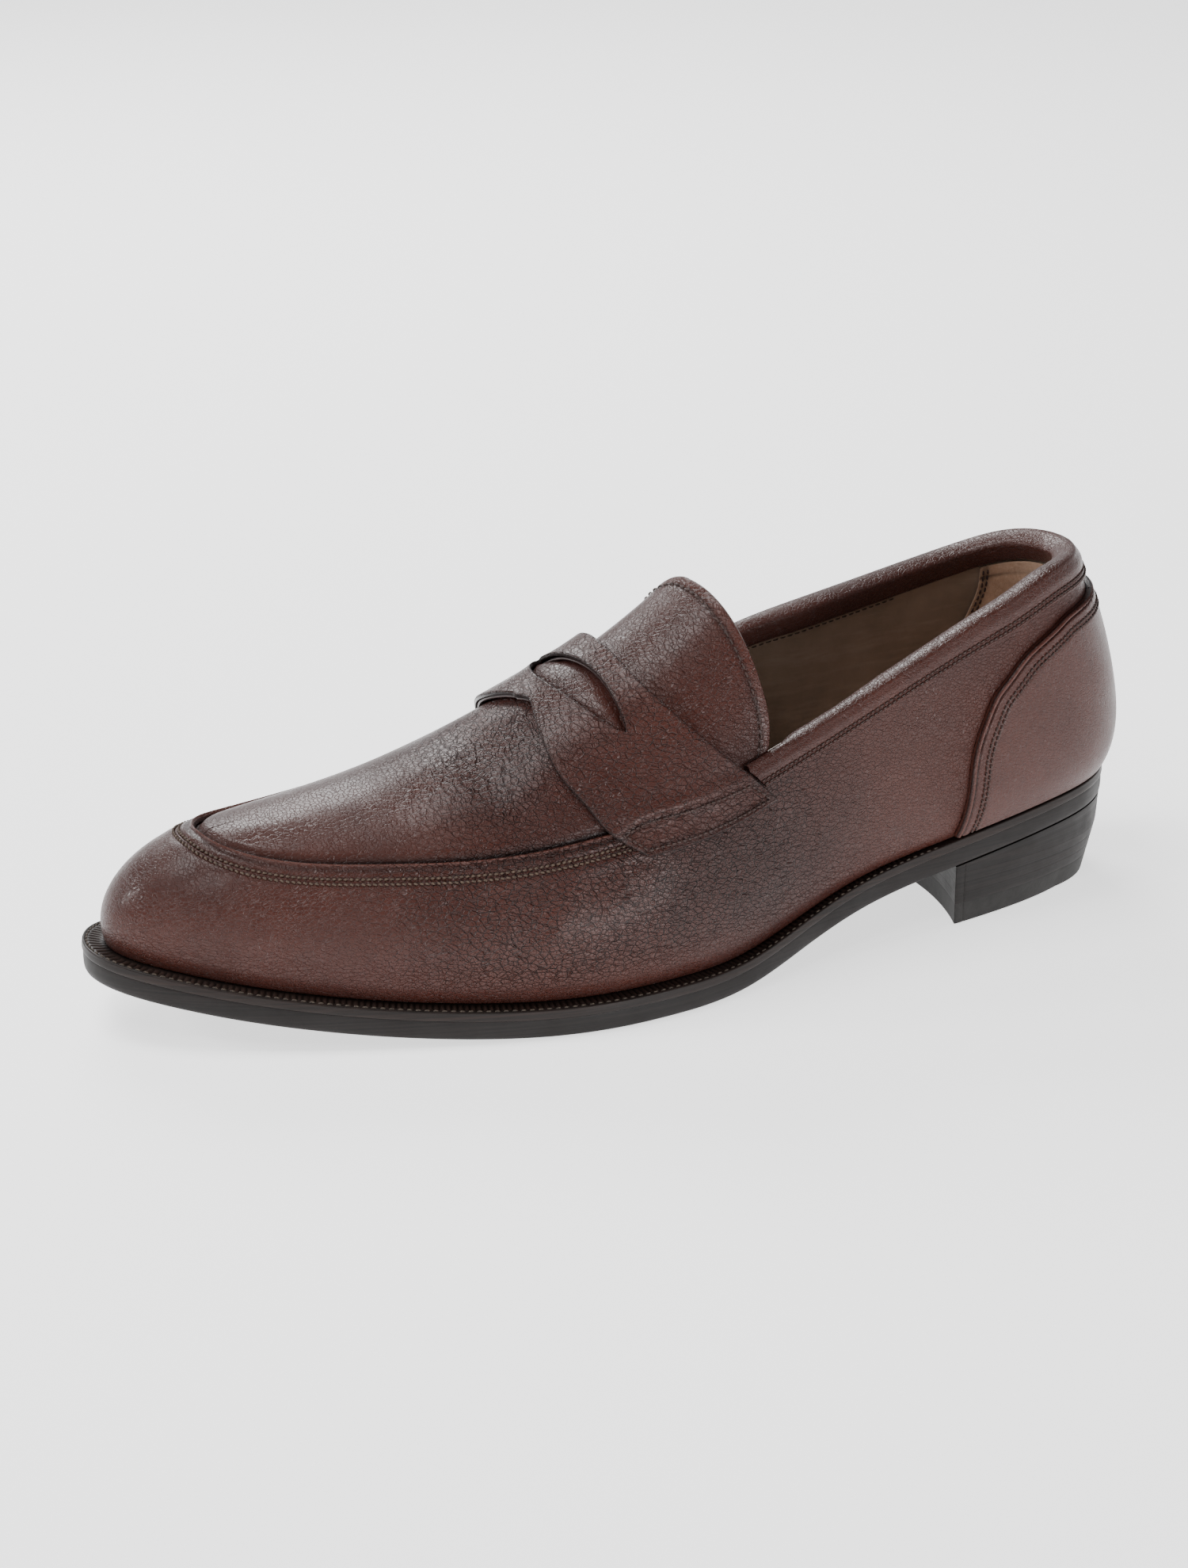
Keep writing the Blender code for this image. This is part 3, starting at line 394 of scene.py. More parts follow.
class Build:
    """Vertices, faces and vertex values of one piece, gathered grid by grid."""

    def __init__(self):
        self.points, self.faces, self.slots, self.values = [], [], [], {"tone": [], "grain": []}
        self.count = 0

    # The first vertex value is painted shade and painted highlight, with the strap's darker dyed edges; the
    # second is how strong the grain is.
    def add(self, points, tone=0.0, grain=0.0):
        """Adds points of any grid shape and returns their numbers in that shape."""
        shape = points.shape[:-1]
        number = np.arange(np.prod(shape, dtype=int)).reshape(shape) + self.count
        self.points.append(points.reshape(-1, 3))
        self.values["tone"].append(np.broadcast_to(tone, shape).ravel())
        self.values["grain"].append(np.broadcast_to(grain, shape).ravel())
        self.count += number.size
        return number

    def skin(self, number, slot=0, ring=False, flip=False):
        """Quads over a grid of vertex numbers."""
        following = np.roll(number, -1, 0) if ring else number[1:]
        number = number if ring else number[:-1]
        quads = np.stack([number[:, :-1], number[:, 1:], following[:, 1:], following[:, :-1]], -1)
        quads = quads.reshape(-1, 4)
        self.faces.append(quads[:, ::-1] if flip else quads)
        self.slots.append(np.full(len(quads), slot))

    def fan(self, ring, slot=0, flip=False):
        """One polygon over a loop of vertex numbers, kept apart from the quads."""
        self.faces.append([list(ring[::-1] if flip else ring)])
        self.slots.append(np.array([slot]))

    def piece(self, name, materials, nodes=(), slot=None, weld=0.001, sharp=48):
        mesh = bpy.data.meshes.new(name)
        points = to_world(np.concatenate(self.points))
        faces = [list(map(int, face)) for group in self.faces for face in group]
        slots = np.concatenate(self.slots)
        mesh.from_pydata(points.tolist(), [], faces)
        mesh.polygons.foreach_set("material_index", slots.astype(np.int32))
        for key, parts in self.values.items():
            mesh.attributes.new(key, "FLOAT", "POINT").data.foreach_set(
                "value", np.concatenate(parts).astype(np.float32))
        if weld:
            weld_mesh(mesh, weld * MM)
        mesh.validate()
        mesh.shade_smooth()
        mesh.set_sharp_from_angle(angle=math.radians(sharp))
        for material in materials:
            mesh.materials.append(material)
        obj = bpy.data.objects.new(name, mesh)
        bpy.context.scene.collection.objects.link(obj)
        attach(obj, "root")
        if nodes:
            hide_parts(*nodes)
        return obj


def weld_mesh(mesh, distance):
    edit = bmesh.new()
    edit.from_mesh(mesh)
    bmesh.ops.remove_doubles(edit, verts=edit.verts, dist=distance)
    edit.to_mesh(mesh)
    edit.free()


def spaced_line(low, high, count):
    """Distances from low to high, close together at the ends."""
    edge = np.array([0, 0.12, 0.3, 0.55, 0.9, 1.4])
    middle = np.linspace(low + edge[-1], high - edge[-1], count)
    return np.concatenate([low + edge[:-1], middle, high - edge[:-1][::-1]])


def edge_drop(distance, radius):
    """How far a rounded edge falls away at a distance from it."""
    near = np.clip(radius - distance, 0, radius)
    return radius - np.sqrt(np.clip(radius**2 - near**2, 0, None))


def grid_runs(points):
    """Distance of every grid point from the first and last row, and from the first and last column."""
    down, across = run_along(points), run_along(points, 1)
    return down, down[-1:] - down, across, across[:, -1:] - across


def rim(build, a, b, outer, inner, away, slot, flip, ring=False):
    """A rounded edge between a line of vertices on the face and one on the back."""
    away = away / (np.linalg.norm(away, axis=-1, keepdims=True) + 1e-9)
    through = inner - outer
    bulge = RIM_BULGE * np.linalg.norm(through, axis=-1, keepdims=True) * away
    rows = [a]
    for share in (0.2, 0.5, 0.8):
        rows.append(build.add(outer + through * share + bulge * math.sin(math.pi * share)))
    rows.append(b)
    build.skin(np.stack(rows, 1), slot, ring, flip)


def leather(build, v, w, depth, thickness, ring=False, rounded="", radius=0.4, tone=0.0,
            grain=0.0, back=None):
    """A sheet on the last: its face, its back and its cut edges.

    rounded says which edges of the face fall away: a and b the first and last row, c and d the columns.
    """
    face = layer(v, w, depth)
    runs = dict(zip("abcd", grid_runs(face)))
    drop = sum(edge_drop(runs[side], radius) for side in rounded) if rounded else 0
    outer = layer(v, w, depth + drop)
    inner = layer(v, w, (depth if back is None else back) + thickness)
    i, j = (n // 2 for n in v.shape)
    turn = np.cross(face[i, j + 1] - face[i, j], face[i + 1, j] - face[i, j])
    flip = bool(np.dot(turn, facing(v[i, j], w[i, j])) < 0)
    a = build.add(outer, tone, grain)
    b = build.add(inner, tone, grain)
    build.skin(a, 0, ring, flip)
    build.skin(b, 0, ring, not flip)
    for at, near, turned in sheet_edges(flip)[2 if ring else 0 :]:
        rim(build, a[at], b[at], outer[at], inner[at], outer[at] - outer[near], 0, turned, ring)


def sheet_edges(flip):
    """The first and last row and column of a grid, with the line beside each and the way it is skinned."""
    return [(np.s_[0], np.s_[1], flip), (np.s_[-1], np.s_[-2], not flip),
            (np.s_[:, 0], np.s_[:, 1], not flip), (np.s_[:, -1], np.s_[:, -2], flip)]


def sheet(name, materials, node, slot, *places, **looks):
    """A leather sheet as a piece of its own."""
    build = Build()
    leather(build, *places, **looks)
    return build.piece(name, materials, [node], slot)


def closed_tube(sections, **values):
    """Build holding a strip with the same closed section all along, its ends still open."""
    build = Build()
    number = build.add(sections, **values)
    return build, number, np.concatenate([number, number[:, :1]], 1)


def beside_feather(v, out, level):
    """Points beside the feather edge: out from it in plan, and level above it."""
    plan = outline(v)[:, None] + outward(v)[:, None] * out[..., None]
    return np.concatenate([plan, (feather_height(plan[..., 0]) + level)[..., None]], -1)


# ==== sewing ======================================================================================
def resampled(points, normals, pitch):
    """Even places along a line of points: place, direction and surface normal of each."""
    run = run_along(points)
    count = max(1, int(run[-1] / pitch))
    at = (np.arange(count) + 0.5) * run[-1] / count

    def pick(values, where):
        return np.stack([np.interp(where, run, values[:, k]) for k in range(3)], 1)

    place = pick(points, at)
    along = pick(points, at + 0.2) - pick(points, at - 0.2)
    normal = pick(normals, at)
    along /= np.linalg.norm(along, axis=1, keepdims=True) + 1e-9
    normal -= along * (normal * along).sum(1, keepdims=True)
    normal /= np.linalg.norm(normal, axis=1, keepdims=True) + 1e-9
    return place, along, normal


def sew(build, v, w, depth, pitch, length=0.78, radius=0.3, slant=0.0, holes=True):
    """A row of stitches along places on the last: short arched threads that dive in at both ends."""
    points = layer(v, w, np.broadcast_to(depth, np.shape(v)))
    sew_line(build, points, facing(v, w), pitch, length, radius, slant, holes)


def sew_line(build, points, normals, pitch, length=0.78, radius=0.3, slant=0.0, holes=True):
    place, along, normal = resampled(points, normals, pitch)
    side = np.cross(normal, along)
    turned = along * math.cos(slant) + side * math.sin(slant)
    side = np.cross(normal, turned)
    steps, sides = 7, 6
    share = np.linspace(-1, 1, steps)
    arch = 0.75 * radius - 1.35 * radius * share**4
    thick = radius * np.sqrt(np.clip(1 - (0.93 * share) ** 4, 0, 1))
    angle = np.arange(sides) * 2 * np.pi / sides
    half = pitch * length / 2
    ring = (
        place[:, None, None]
        + turned[:, None, None] * (share * half)[None, :, None, None]
        + normal[:, None, None] * (arch[:, None] + thick[:, None] * np.sin(angle))[None, :, :, None]
        + side[:, None, None] * (thick[:, None] * np.cos(angle))[None, :, :, None]
    )
    number = build.add(ring)
    for stitch in number:
        build.skin(np.concatenate([stitch, stitch[:, :1]], 1), 0, flip=True)
        build.fan(stitch[0], 0)
        build.fan(stitch[-1], 0, flip=True)
    if holes:
        needle_holes(build, place, turned, normal, side, half, radius)


def needle_holes(build, place, along, normal, side, half, radius):
    """Near-black low cones where the thread goes in: painted shade of the needle holes."""
    angle = np.arange(8) * 2 * np.pi / 8
    for end in (-1, 1):
        centre = place + along * (end * (half + 0.1))
        ring = centre[:, None] + radius * 0.95 * (
            side[:, None] * np.cos(angle)[None, :, None] + along[:, None] * np.sin(angle)[None, :, None]
        )
        number = build.add(ring - normal[:, None] * 0.12)
        tops = build.add(centre + normal * 0.06)
        for around, top in zip(number, tops):
            strip = np.stack([np.r_[around, around[0]], np.full(9, top)], 1)
            build.skin(strip, 1)


# ==== pieces of the upper =========================================================================
def apron_share(v):
    """1 round the apron seam, 0 where the wrap's edge is covered."""
    return smooth_step(v, 0.225, 0.25) * (1 - smooth_step(v, 0.75, 0.775))


def row_grooves(run, rows, width=0.34, depth=0.3):
    return depth * sum(hump(run, row, width) for row in rows)


def lip_height(run):
    """Section of the apron seam: a narrow raised lip, then a soft roll between it and the sewing."""
    return 0.6 * hump(run, 0.45, 0.35) + 0.3 * hump(run, 2.6, 1.0) + 0.16 * hump(run, 7.4, 1.3)


def ball_grain(points):
    """How strongly the leather is wrinkled: at the ball and on the waist, where the shoe bends."""
    s, z = points[..., 0], points[..., 2]
    ball = hump(s, 190, 26) * smooth_step(z, 10, 24)
    waist = 0.8 * hump(s, 145, 34) * smooth_step(z, 14, 30)
    return np.clip(0.25 + ball + waist, 0, 1)


def soft_folds(points):
    """Shallow hollows and folds of worn leather, as a depth."""
    s, t, z = points[..., 0], points[..., 1], points[..., 2]
    bend = s + 0.25 * z
    folds = 0.35 * hump(bend, 204, 5) - 0.3 * hump(bend, 195, 4.5) + 0.3 * hump(bend, 186, 4)
    drag = 0.4 * np.sin((z + 0.42 * s) / 3.4) * hump(s, 128, 17) * hump(z, 40, 13)
    return folds * smooth_step(np.abs(t), 20, 34) * smooth_step(z, 12, 26) * 0.8 + drag * 0.35


def wrap_grid():
    v = np.arange(860) / 860
    top = wrap_top(v)
    near = np.concatenate([np.linspace(0, 1.6, 9), np.linspace(1.8, 6.6, 25), [7, 7.6, 8.4, 9.4]])
    _, total = below_edge(v, near, top)
    rest = 9.4 + (total[:, None] - 9.4) * np.linspace(0, 1, 40)[None, 1:]
    run = np.concatenate([np.broadcast_to(near, (len(v), len(near))), rest], 1)
    w, _ = below_edge(v, run, top)
    return np.broadcast_to(v[:, None], w.shape), w, run


def vamp_wrap(materials):
    v, w, run = wrap_grid()
    share = apron_share(v)
    face = last(v, w)
    depth = soft_folds(face) * smooth_step(run, 6, 12)
    depth = depth + share * (row_grooves(run, APRON_ROWS) - lip_height(run))
    # Painted shade on the roll's slope beside the apron seam, and a painted highlight on the lip's crest.
    tone = share * (0.45 * hump(run, 1.9, 0.9) - 0.9 * hump(run, 0.3, 0.4))
    build = Build()
    leather(build, v, w, depth, UPPER, ring=True, rounded="c", radius=0.45, tone=tone,
            grain=ball_grain(face), back=0.0)
    foot = last(v[:, -1], w[:, -1])
    under = foot.copy()
    under[:, :2] -= outward(v[:, -1]) * 1.2
    under[:, 2] += WELT_TOP - 0.05
    foot[:, 2] += 0.05
    build.skin(np.stack([build.add(foot), build.add(under)], 1), 0, ring=True)
    build.piece("vamp_wrap_calf", materials, ["vamp_wrap"], "upper")


def seam_run(v, w):
    """Distance on the last from the wrap's edge, for grids with one station per row: up is positive."""
    top = wrap_top(v)
    share = np.linspace(0, 1, 161)
    places = top[:, None] + (1 - top[:, None]) * share[None]
    length = run_along(last(np.broadcast_to(v[:, None], places.shape), places), 1)
    return np.array([np.interp(a, b, c) for a, b, c in zip(w, places, length)])


def over_foot(s, count, hidden=2.6):
    """(v, w, run) right over the foot at stations s: from under the wrap on one side to the other."""
    halves = []
    for v in (outer_v(s), inner_v(s)):
        low, _ = below_edge(v, [hidden])
        top = wrap_top(v)[:, None]
        lead = low + (top - low) * np.array([0, 0.5, 1])
        start = inward_share(top)
        spread = np.concatenate([[0.008, 0.02, 0.036], np.linspace(0.055, 1, count)])
        w = np.concatenate([lead, even_climb(start + (1 - start) * spread)], 1)
        halves.append((np.broadcast_to(v[:, None], w.shape), w, seam_run(v, w)))
    (v, w, run), (v2, w2, run2) = halves
    return (np.concatenate([v, v2[:, ::-1]], 1), np.concatenate([w, w2[:, ::-1]], 1),
            np.concatenate([run, run2[:, ::-1]], 1))


def plug_depth(points, run):
    """The plug starts low in the seam and swells; before the strap it has sunk into a soft hollow."""
    s, t = points[..., 0], points[..., 1]
    rise = 1.25 * smooth_step(run, 0.2, 3.4)
    hollow = 1.4 * hump(s, 193, 8) * hump(t, 12, 17) - 0.5 * hump(s, 205, 8) * hump(t, 8, 16)
    return UPPER + PLUG_LOW - rise + hollow - slot_dome(points[..., :2])


def slot_dome(plan):
    """How far the plug swells up into the strap's slot, as a lens a little smaller than the opening."""
    x, y = slot_frame(plan)
    full = slot_fullness(x / 0.97)
    middle, half = (SLOT_FRONT - SLOT_BACK) / 2 * full, (SLOT_FRONT + SLOT_BACK) / 2 * full + 1e-6
    across = np.clip(1 - ((y - middle) / half) ** 2, 0, 1)
    broad = hump(plan[..., 0], SLOT_CENTRE[0] + 4, 12) * hump(plan[..., 1], SLOT_CENTRE[1], 24)
    return 0.6 * broad + 1.6 * across**0.45 * smooth_step(full, 0, 0.3)


def apron_plug(materials):
    s = spaced_line(PLUG_REAR, TOE_S - PLUG_TIP, 150)
    s = np.concatenate([s, TOE_S - PLUG_TIP * (1 - np.linspace(0, 1, 12)[1:]) ** 2 - 0.02])
    v, w, run = over_foot(s, 40)
    face = last(v, w)
    grain = np.clip(0.15 + hump(face[..., 0], 190, 20) * hump(face[..., 1], 10, 26), 0, 1)
    # Painted shade where the plug dips into the apron seam.
    tone = 0.9 * (1 - smooth_step(run, 0.5, 1.6))
    sheet("apron_plug_calf", materials, "apron_plug", "upper", v, w, plug_depth(face, run), PLUG,
          grain=grain, back=UPPER + PLUG_LOW, tone=tone)


def tongue_places(count, inset=0.0):
    """(v, w) of the tongue, its last row the rounded free end."""
    tip = [0.885, 0.91, 0.93, 0.95, 0.965, 0.98, 0.99, 1]
    share = np.concatenate([np.linspace(0, 0.86, count), tip])
    first, w, _ = over_foot(np.full(2, TONGUE_FRONT), 60)
    w = w[:1]
    side = first[:1] < TOE_V
    end = np.where(side, tongue_end(w), tongue_end_inner(w)) + inset
    s = TONGUE_FRONT + (end - TONGUE_FRONT) * share[:, None]
    v = np.where(side, outer_v(s), inner_v(s))
    top = wrap_top(v.ravel()).reshape(v.shape)
    start = wrap_top(first[0])[None]
    w = np.where(w > start, top + (1 - top) * (w - start) / (1 - start), w - start + top)
    return v, w


def tongue(materials):
    v, w = tongue_places(80)
    face = last(v, w)
    _, behind, _, _ = grid_runs(face)
    back = UPPER + GAP - TONGUE_LIFT + tongue_curl(behind)
    depth = back + row_grooves(behind, [TONGUE_ROW], 0.4, 0.32)
    # Painted shade along the groove of the sewn row; the last two millimetres of the free end are made a
    # little lighter.
    lighter_end = 1 - smooth_step(behind, TONGUE_ROW - 1.4, TONGUE_ROW - 0.4)
    sheet("tongue_calf", materials, "tongue", "upper", v, w, depth, PLUG + 0.5, rounded="b", radius=0.7,
          tone=0.55 * hump(behind, TONGUE_ROW, 0.55) - 0.25 * lighter_end, grain=0.35, back=back)
    return v, w, depth, behind


def tongue_curl(behind):
    """The free end curls up a little."""
    return -0.5 * np.clip(1 - behind / 9, 0, 1) ** 2


def tongue_lining(material):
    v, w = tongue_places(50, 1.2)
    v, w = v[:, 4:-4], w[:, 4:-4]
    _, behind, _, _ = grid_runs(last(v, w))
    depth = UPPER + PLUG + 2 * GAP + tongue_curl(behind)
    sheet("tongue_lining_calf", [material], "tongue_lining", "lining", v, w, depth, LINING,
          rounded="b", radius=0.3, grain=0.3)


def vamp_lining(material):
    """The lining over the instep and the toes, as far as it can be seen from the shoe's opening."""
    s = np.linspace(LINING_SPLIT + 0.2, 272, 110)
    climb = even_climb(np.linspace(0, 1, 40))
    halves = []
    for v in (outer_v(s), inner_v(s)):
        v, w = np.broadcast_arrays(v[:, None], climb[None])
        top = wrap_top(v[:, 0])[:, None]
        halves.append((v, w, (PLUG + GAP) * smooth_step(w, top - 0.2, top - 0.06)))
    v, w, room = (np.concatenate([a, b[:, -2::-1]], 1) for a, b in zip(*halves))
    depth = UPPER + GAP + room + (PUFF + GAP) * smooth_step(outline(v)[..., 0], *PUFF_ROOM)
    sheet("vamp_lining_calf", [material], "vamp_lining", "lining", v, w, depth, LINING, grain=0.3)


def line_at(v, w, depth, run, wanted, deeper=0.0):
    """The line across every column of a grid where run comes down to the wanted value."""
    picked = []
    for j in range(v.shape[1]):
        order = np.argsort(run[:, j])
        picked.append([np.interp(wanted, run[order, j], grid[order, j]) for grid in (v, w, depth)])
    a, b, c = np.array(picked).T
    return a, b, c + deeper


def slot_fullness(x):
    """Share of the slot's greatest width along its axis: rounded at the inner end, pointed at the outer."""
    u = np.clip(x / SLOT_HALF, -1, 1)
    return (1 - u) ** 0.7 * (1 + u) ** 0.5


def slot_frame(plan):
    """(along, across) the slot of points in plan."""
    rel = plan - np.array(SLOT_CENTRE)
    sin, cos = math.sin(SLOT_TURN), math.cos(SLOT_TURN)
    return rel[..., 0] * sin + rel[..., 1] * cos, rel[..., 0] * cos - rel[..., 1] * sin


def strap_places(along, share):
    """(v, w) on the strap: along it from -1, the outer foot, to 1; share from its rear to its front edge."""
    along, share = np.broadcast_arrays(along, share)
    foot = STRAP_FOOT_REAR + (STRAP_FOOT_FRONT - STRAP_FOOT_REAR) * share
    start = inward_share(foot)
    w = even_climb(start + (1 - start) * (1 - np.abs(along)))
    front = np.where(along < 0, strap_front(w), strap_front_inner(w))
    s = strap_rear(w) + (front - strap_rear(w)) * share
    return np.where(along < 0, outer_v(s), inner_v(s)), w


def strap_strips(inset):
    """Rear and front strip of the strap, parted along the slot, with the slot's opening at each row."""
    ends = np.array([0, 0.004, 0.01, 0.018, 0.028, 0.042])
    half = np.concatenate([ends, np.linspace(0.06, 1, 118)])
    along = np.concatenate([-1 + half, 1 - half[::-1]]) * (1 - inset / 55)
    share = np.linspace(0, 1, 241)
    v, w = strap_places(along[:, None], share[None])
    x, y = slot_frame(layer(v, w, -1.5)[..., :2])
    full = slot_fullness(x)
    open_here = np.abs(x) < SLOT_HALF
    behind = np.where(open_here, SLOT_BACK * full + 0.3 * inset, 0)
    ahead = np.where(open_here, SLOT_FRONT * full + 0.3 * inset, 0)
    rear = np.array([np.interp(0, line, share) for line in y + behind])
    front = np.array([np.interp(0, line, share) for line in y - ahead])
    across = np.concatenate([[0, 0.01, 0.026, 0.05, 0.08, 0.12], np.linspace(0.16, 0.84, 17),
                             [0.88, 0.92, 0.95, 0.974, 0.99, 1]])
    margin = inset / 30
    first = margin + (rear[:, None] - margin) * across
    second = front[:, None] + (1 - margin - front[:, None]) * across
    opening = smooth_step(front - rear, 0.004, 0.06)
    return along, [strap_places(along[:, None], part) for part in (first, second)], opening


def strap_relief(along, runs, opening, front):
    """Depth of the strap's face: sewn box at both feet, curled slot edges, lifted front edge."""
    foot = np.minimum(runs[0], runs[1])
    low, high = STRAP_ROWS
    depth = row_grooves(foot, STRAP_ROWS, 0.5, 0.42)
    depth = depth + 0.35 * hump(foot, (low + high) / 2, 2.2) - 0.6 * hump(foot, high + 2.4, 2.0)
    slot_side, edge_side = (runs[2], runs[3]) if front else (runs[3], runs[2])
    depth = depth - 0.55 * opening[:, None] * np.exp(-slot_side / 2.6)
    middle = hump(along, -0.02, 0.22)[:, None]
    return depth - (0.15 if front else 0.25) * middle * np.exp(-edge_side / 3.2)


def saddle_strap(materials):
    """The strap in two strips that part round the slot; returns their places for the sewing."""
    build = Build()
    lines = []
    along, strips, opening = strap_strips(0.0)
    for (v, w), front in zip(strips, (False, True)):
        face = layer(v, w, STRAP_UNDER - STRAP)
        runs = grid_runs(face)
        relief = strap_relief(along, runs, opening, front)
        edge_run, slot_run = (runs[3], runs[2]) if front else (runs[2], runs[3])
        drop = edge_drop(edge_run, 0.6) + opening[:, None] * edge_drop(slot_run, 0.6)
        drop = drop + edge_drop(runs[0], 0.6) + edge_drop(runs[1], 0.6)
        depth = STRAP_UNDER - STRAP + relief + drop
        foot = np.minimum(runs[0], runs[1])
        # Darker along the dyed cut edges and the slot's lips, and painted shade in the grooves of the sewn
        # rows.
        edge_tone = np.exp(-np.minimum(foot, edge_run) / 0.5) + opening[:, None] * np.exp(-slot_run / 0.5)
        edge_tone = edge_tone + 0.5 * row_grooves(foot, STRAP_ROWS, 0.6, 1.0)
        outer = layer(v, w, depth)
        inner = layer(v, w, STRAP_UNDER + np.minimum(relief, 0))
        a, b = build.add(outer, edge_tone, 0.55), build.add(inner)
        i, j = 60, 11
        turn = np.cross(outer[i, j + 1] - outer[i, j], outer[i + 1, j] - outer[i, j])
        flip = bool(np.dot(turn, facing(v[i, j], w[i, j])) < 0)
        build.skin(a, 0, flip=flip)
        build.skin(b, 0, flip=not flip)
        for k, (at, near, turned) in enumerate(sheet_edges(flip)):
            if k == (2 if front else 3):
                open_rows = np.flatnonzero(opening > 0)
                rows = np.arange(open_rows[0] - 1, open_rows[-1] + 2)
                at = (rows, 0 if front else -1)
                near = (rows, 1 if front else -2)
            rim(build, a[at], b[at], outer[at], inner[at], outer[at] - outer[near], 1, turned)
        lines.append((v, w, depth, runs))
    build.piece("saddle_strap_calf", materials, ["saddle_strap"], "upper", weld=0.02)
    return lines


def strap_backing(materials):
    build = Build()
    _, strips, _ = strap_strips(0.5)
    for v, w in strips:
        leather(build, v, w, STRAP_UNDER + 0.25, STRAP_LINING)
    build.piece("saddle_strap_backing", materials, ["saddle_strap_lining"], "lining", weld=0.02)


def room_under_plug(s):
    return (PLUG + GAP) * smooth_step(s, *PLUG_ROOM)


def heel_extra(s):
    return (STIFFENER + GAP) * (1 - smooth_step(s, *COUNTER_ROOM))


def collar_end(place):
    """Distances from the heel at which the topline strip's fold and lower edge meet the strap."""
    s = np.linspace(108, 146, 153)
    v = place(s)
    levels = wrap_top(v), below_edge(v, [COLLAR_WIDTH * COLLAR_NARROW])[0][:, 0]
    return [float(np.interp(0, s - strap_rear(w) + STRAP_CLEAR, s)) for w in levels]


def collar_sections():
    """Cross sections of the folded topline strip, and where its sewing runs."""
    (outer_top, outer_low), (inner_top, inner_low) = collar_end(outer_v), collar_end(inner_v)
    v = np.linspace(inner_v(inner_top), 1 + outer_v(outer_top), 620)
    s = outline(v)[:, 0]
    lean = [(top - low) * smooth_step(s, top - COLLAR_SLANT, top)
            for top, low in ((inner_top, inner_low), (outer_top, outer_low))]
    low_s = s - np.where(v < 1, *lean)
    low_v = np.where(v < 1, inner_v(low_s), 1 + outer_v(low_s))
    width = 1 - (1 - COLLAR_NARROW) * smooth_step(s, *COLLAR_NARROWS)
    top = wrap_top(v)
    low_edge = [COLLAR_WIDTH, 7.8, 7.6, 7.3]
    runs = np.concatenate([low_edge, np.arange(7.1, 4.7, -0.2), np.linspace(4.5, 0, 10)])
    face_depth = -GAP - BINDING + edge_drop(COLLAR_WIDTH - runs, 0.55)
    face_depth = face_depth + row_grooves(runs, COLLAR_ROWS, 0.36, 0.34) - 0.5 * hump(runs, 2.6, 2.0)
    part = runs / COLLAR_WIDTH
    places = v[:, None] + (low_v - v)[:, None] * part
    across = [below_edge(places[:, k], run * width[:, None])[0][:, 0] for k, run in enumerate(runs)]
    across = np.stack(across, 1)
    outer = layer(places, across, np.broadcast_to(face_depth, places.shape))
    short, beside = smooth_step(s, *COLLAR_SHORTENS), smooth_step(s, *COLLAR_ENDS)
    full = UPPER + GAP + room_under_plug(s) + heel_extra(s) + LINING + GAP
    near = full * (1 - beside) + (UPPER - 0.8 * BINDING) * beside
    far = near + BINDING * (1 - 0.2 * beside)
    up = layer(v, top, 0.0) - layer(v, top - 0.02, 0.0)
    up /= np.linalg.norm(up, axis=-1, keepdims=True)
    angle = np.linspace(0, np.pi, 13)[1:-1]
    start = face_depth[-1]
    middle, half = (far + start) / 2, (far - start) / 2
    crown_depth = middle[:, None] - half[:, None] * np.cos(angle)
    lift = COLLAR_CROWN * np.sin(angle) ** 0.8
    crown = layer(v[:, None], top[:, None], crown_depth) + up[:, None] * lift[None, :, None]
    reach = COLLAR_INNER * (1 - short) + 0.4
    steps = np.linspace(0, 1, 8)
    inner_w, _ = below_edge(v, reach[:, None] * steps)
    inner_depth = far[:, None] + 0.25 * np.sin(np.pi * steps) - 0.5 * smooth_step(steps, 0.9, 1)
    inside = layer(v[:, None], inner_w, inner_depth)
    back = [layer(v, inner_w[:, -1], near), layer(v, top, near - 0.05) + 0.3 * up,
            layer(v, top, -GAP) + 0.3 * up, layer(low_v, across[:, 0], -COLLAR_BACK)]
    sections = np.concatenate([outer, crown, inside, np.stack(back, 1)], 1)
    return sections, (v, places, runs, width)


def topline_collar(materials):
    sections, places = collar_sections()
    build, number, loop = closed_tube(sections, grain=0.25)
    build.skin(loop)
    build.fan(number[0])
    build.fan(number[-1], flip=True)
    build.piece("topline_collar_calf", materials, ["topline_collar"], "upper")
    return places


def distance_to(points, line):
    """Least distance of every grid point from a line of points."""
    flat = points.reshape(-1, 3)
    near = [np.sqrt(((chunk[:, None] - line[None]) ** 2).sum(2).min(1))
            for chunk in np.array_split(flat, max(1, len(flat) // 4000))]
    return np.concatenate(near).reshape(points.shape[:-1])


def cover_places():
    """(v, w) of the counter cover, rows from the feather up and columns round the heel."""
    rows = np.concatenate([np.linspace(0, 0.84, 64), np.linspace(0.845, 1, 40)])
    fine = np.concatenate([np.linspace(-1, -0.86, 44), np.linspace(-0.855, 0, 70)])
    share = np.concatenate([fine, -fine[-2::-1]])
    z = COVER_FOOT + (COVER_TOP - COVER_FOOT) * np.broadcast_to(rows[:, None], (len(rows), len(share)))
    for _ in range(4):
        v = 1 + share[None] * cover_edge(z)
        low = feather_height(outline(v)[..., 0]) + 0.6
        z = low + (COVER_TOP - low) * rows[:, None]
    z = z - cover_fall(v, z)
    w = np.array([w_at(v[k], z[k][:, None])[:, 0] for k in range(len(rows))])
    return v, w


def cover_fall(v, z):
    """How much lower the counter cover's upper part lies on the inner side."""
    return COVER_FALL * smooth_step(1 - v, 0, COVER_FALL_REACH) * smooth_step(z, *COVER_FALL_HEIGHTS)


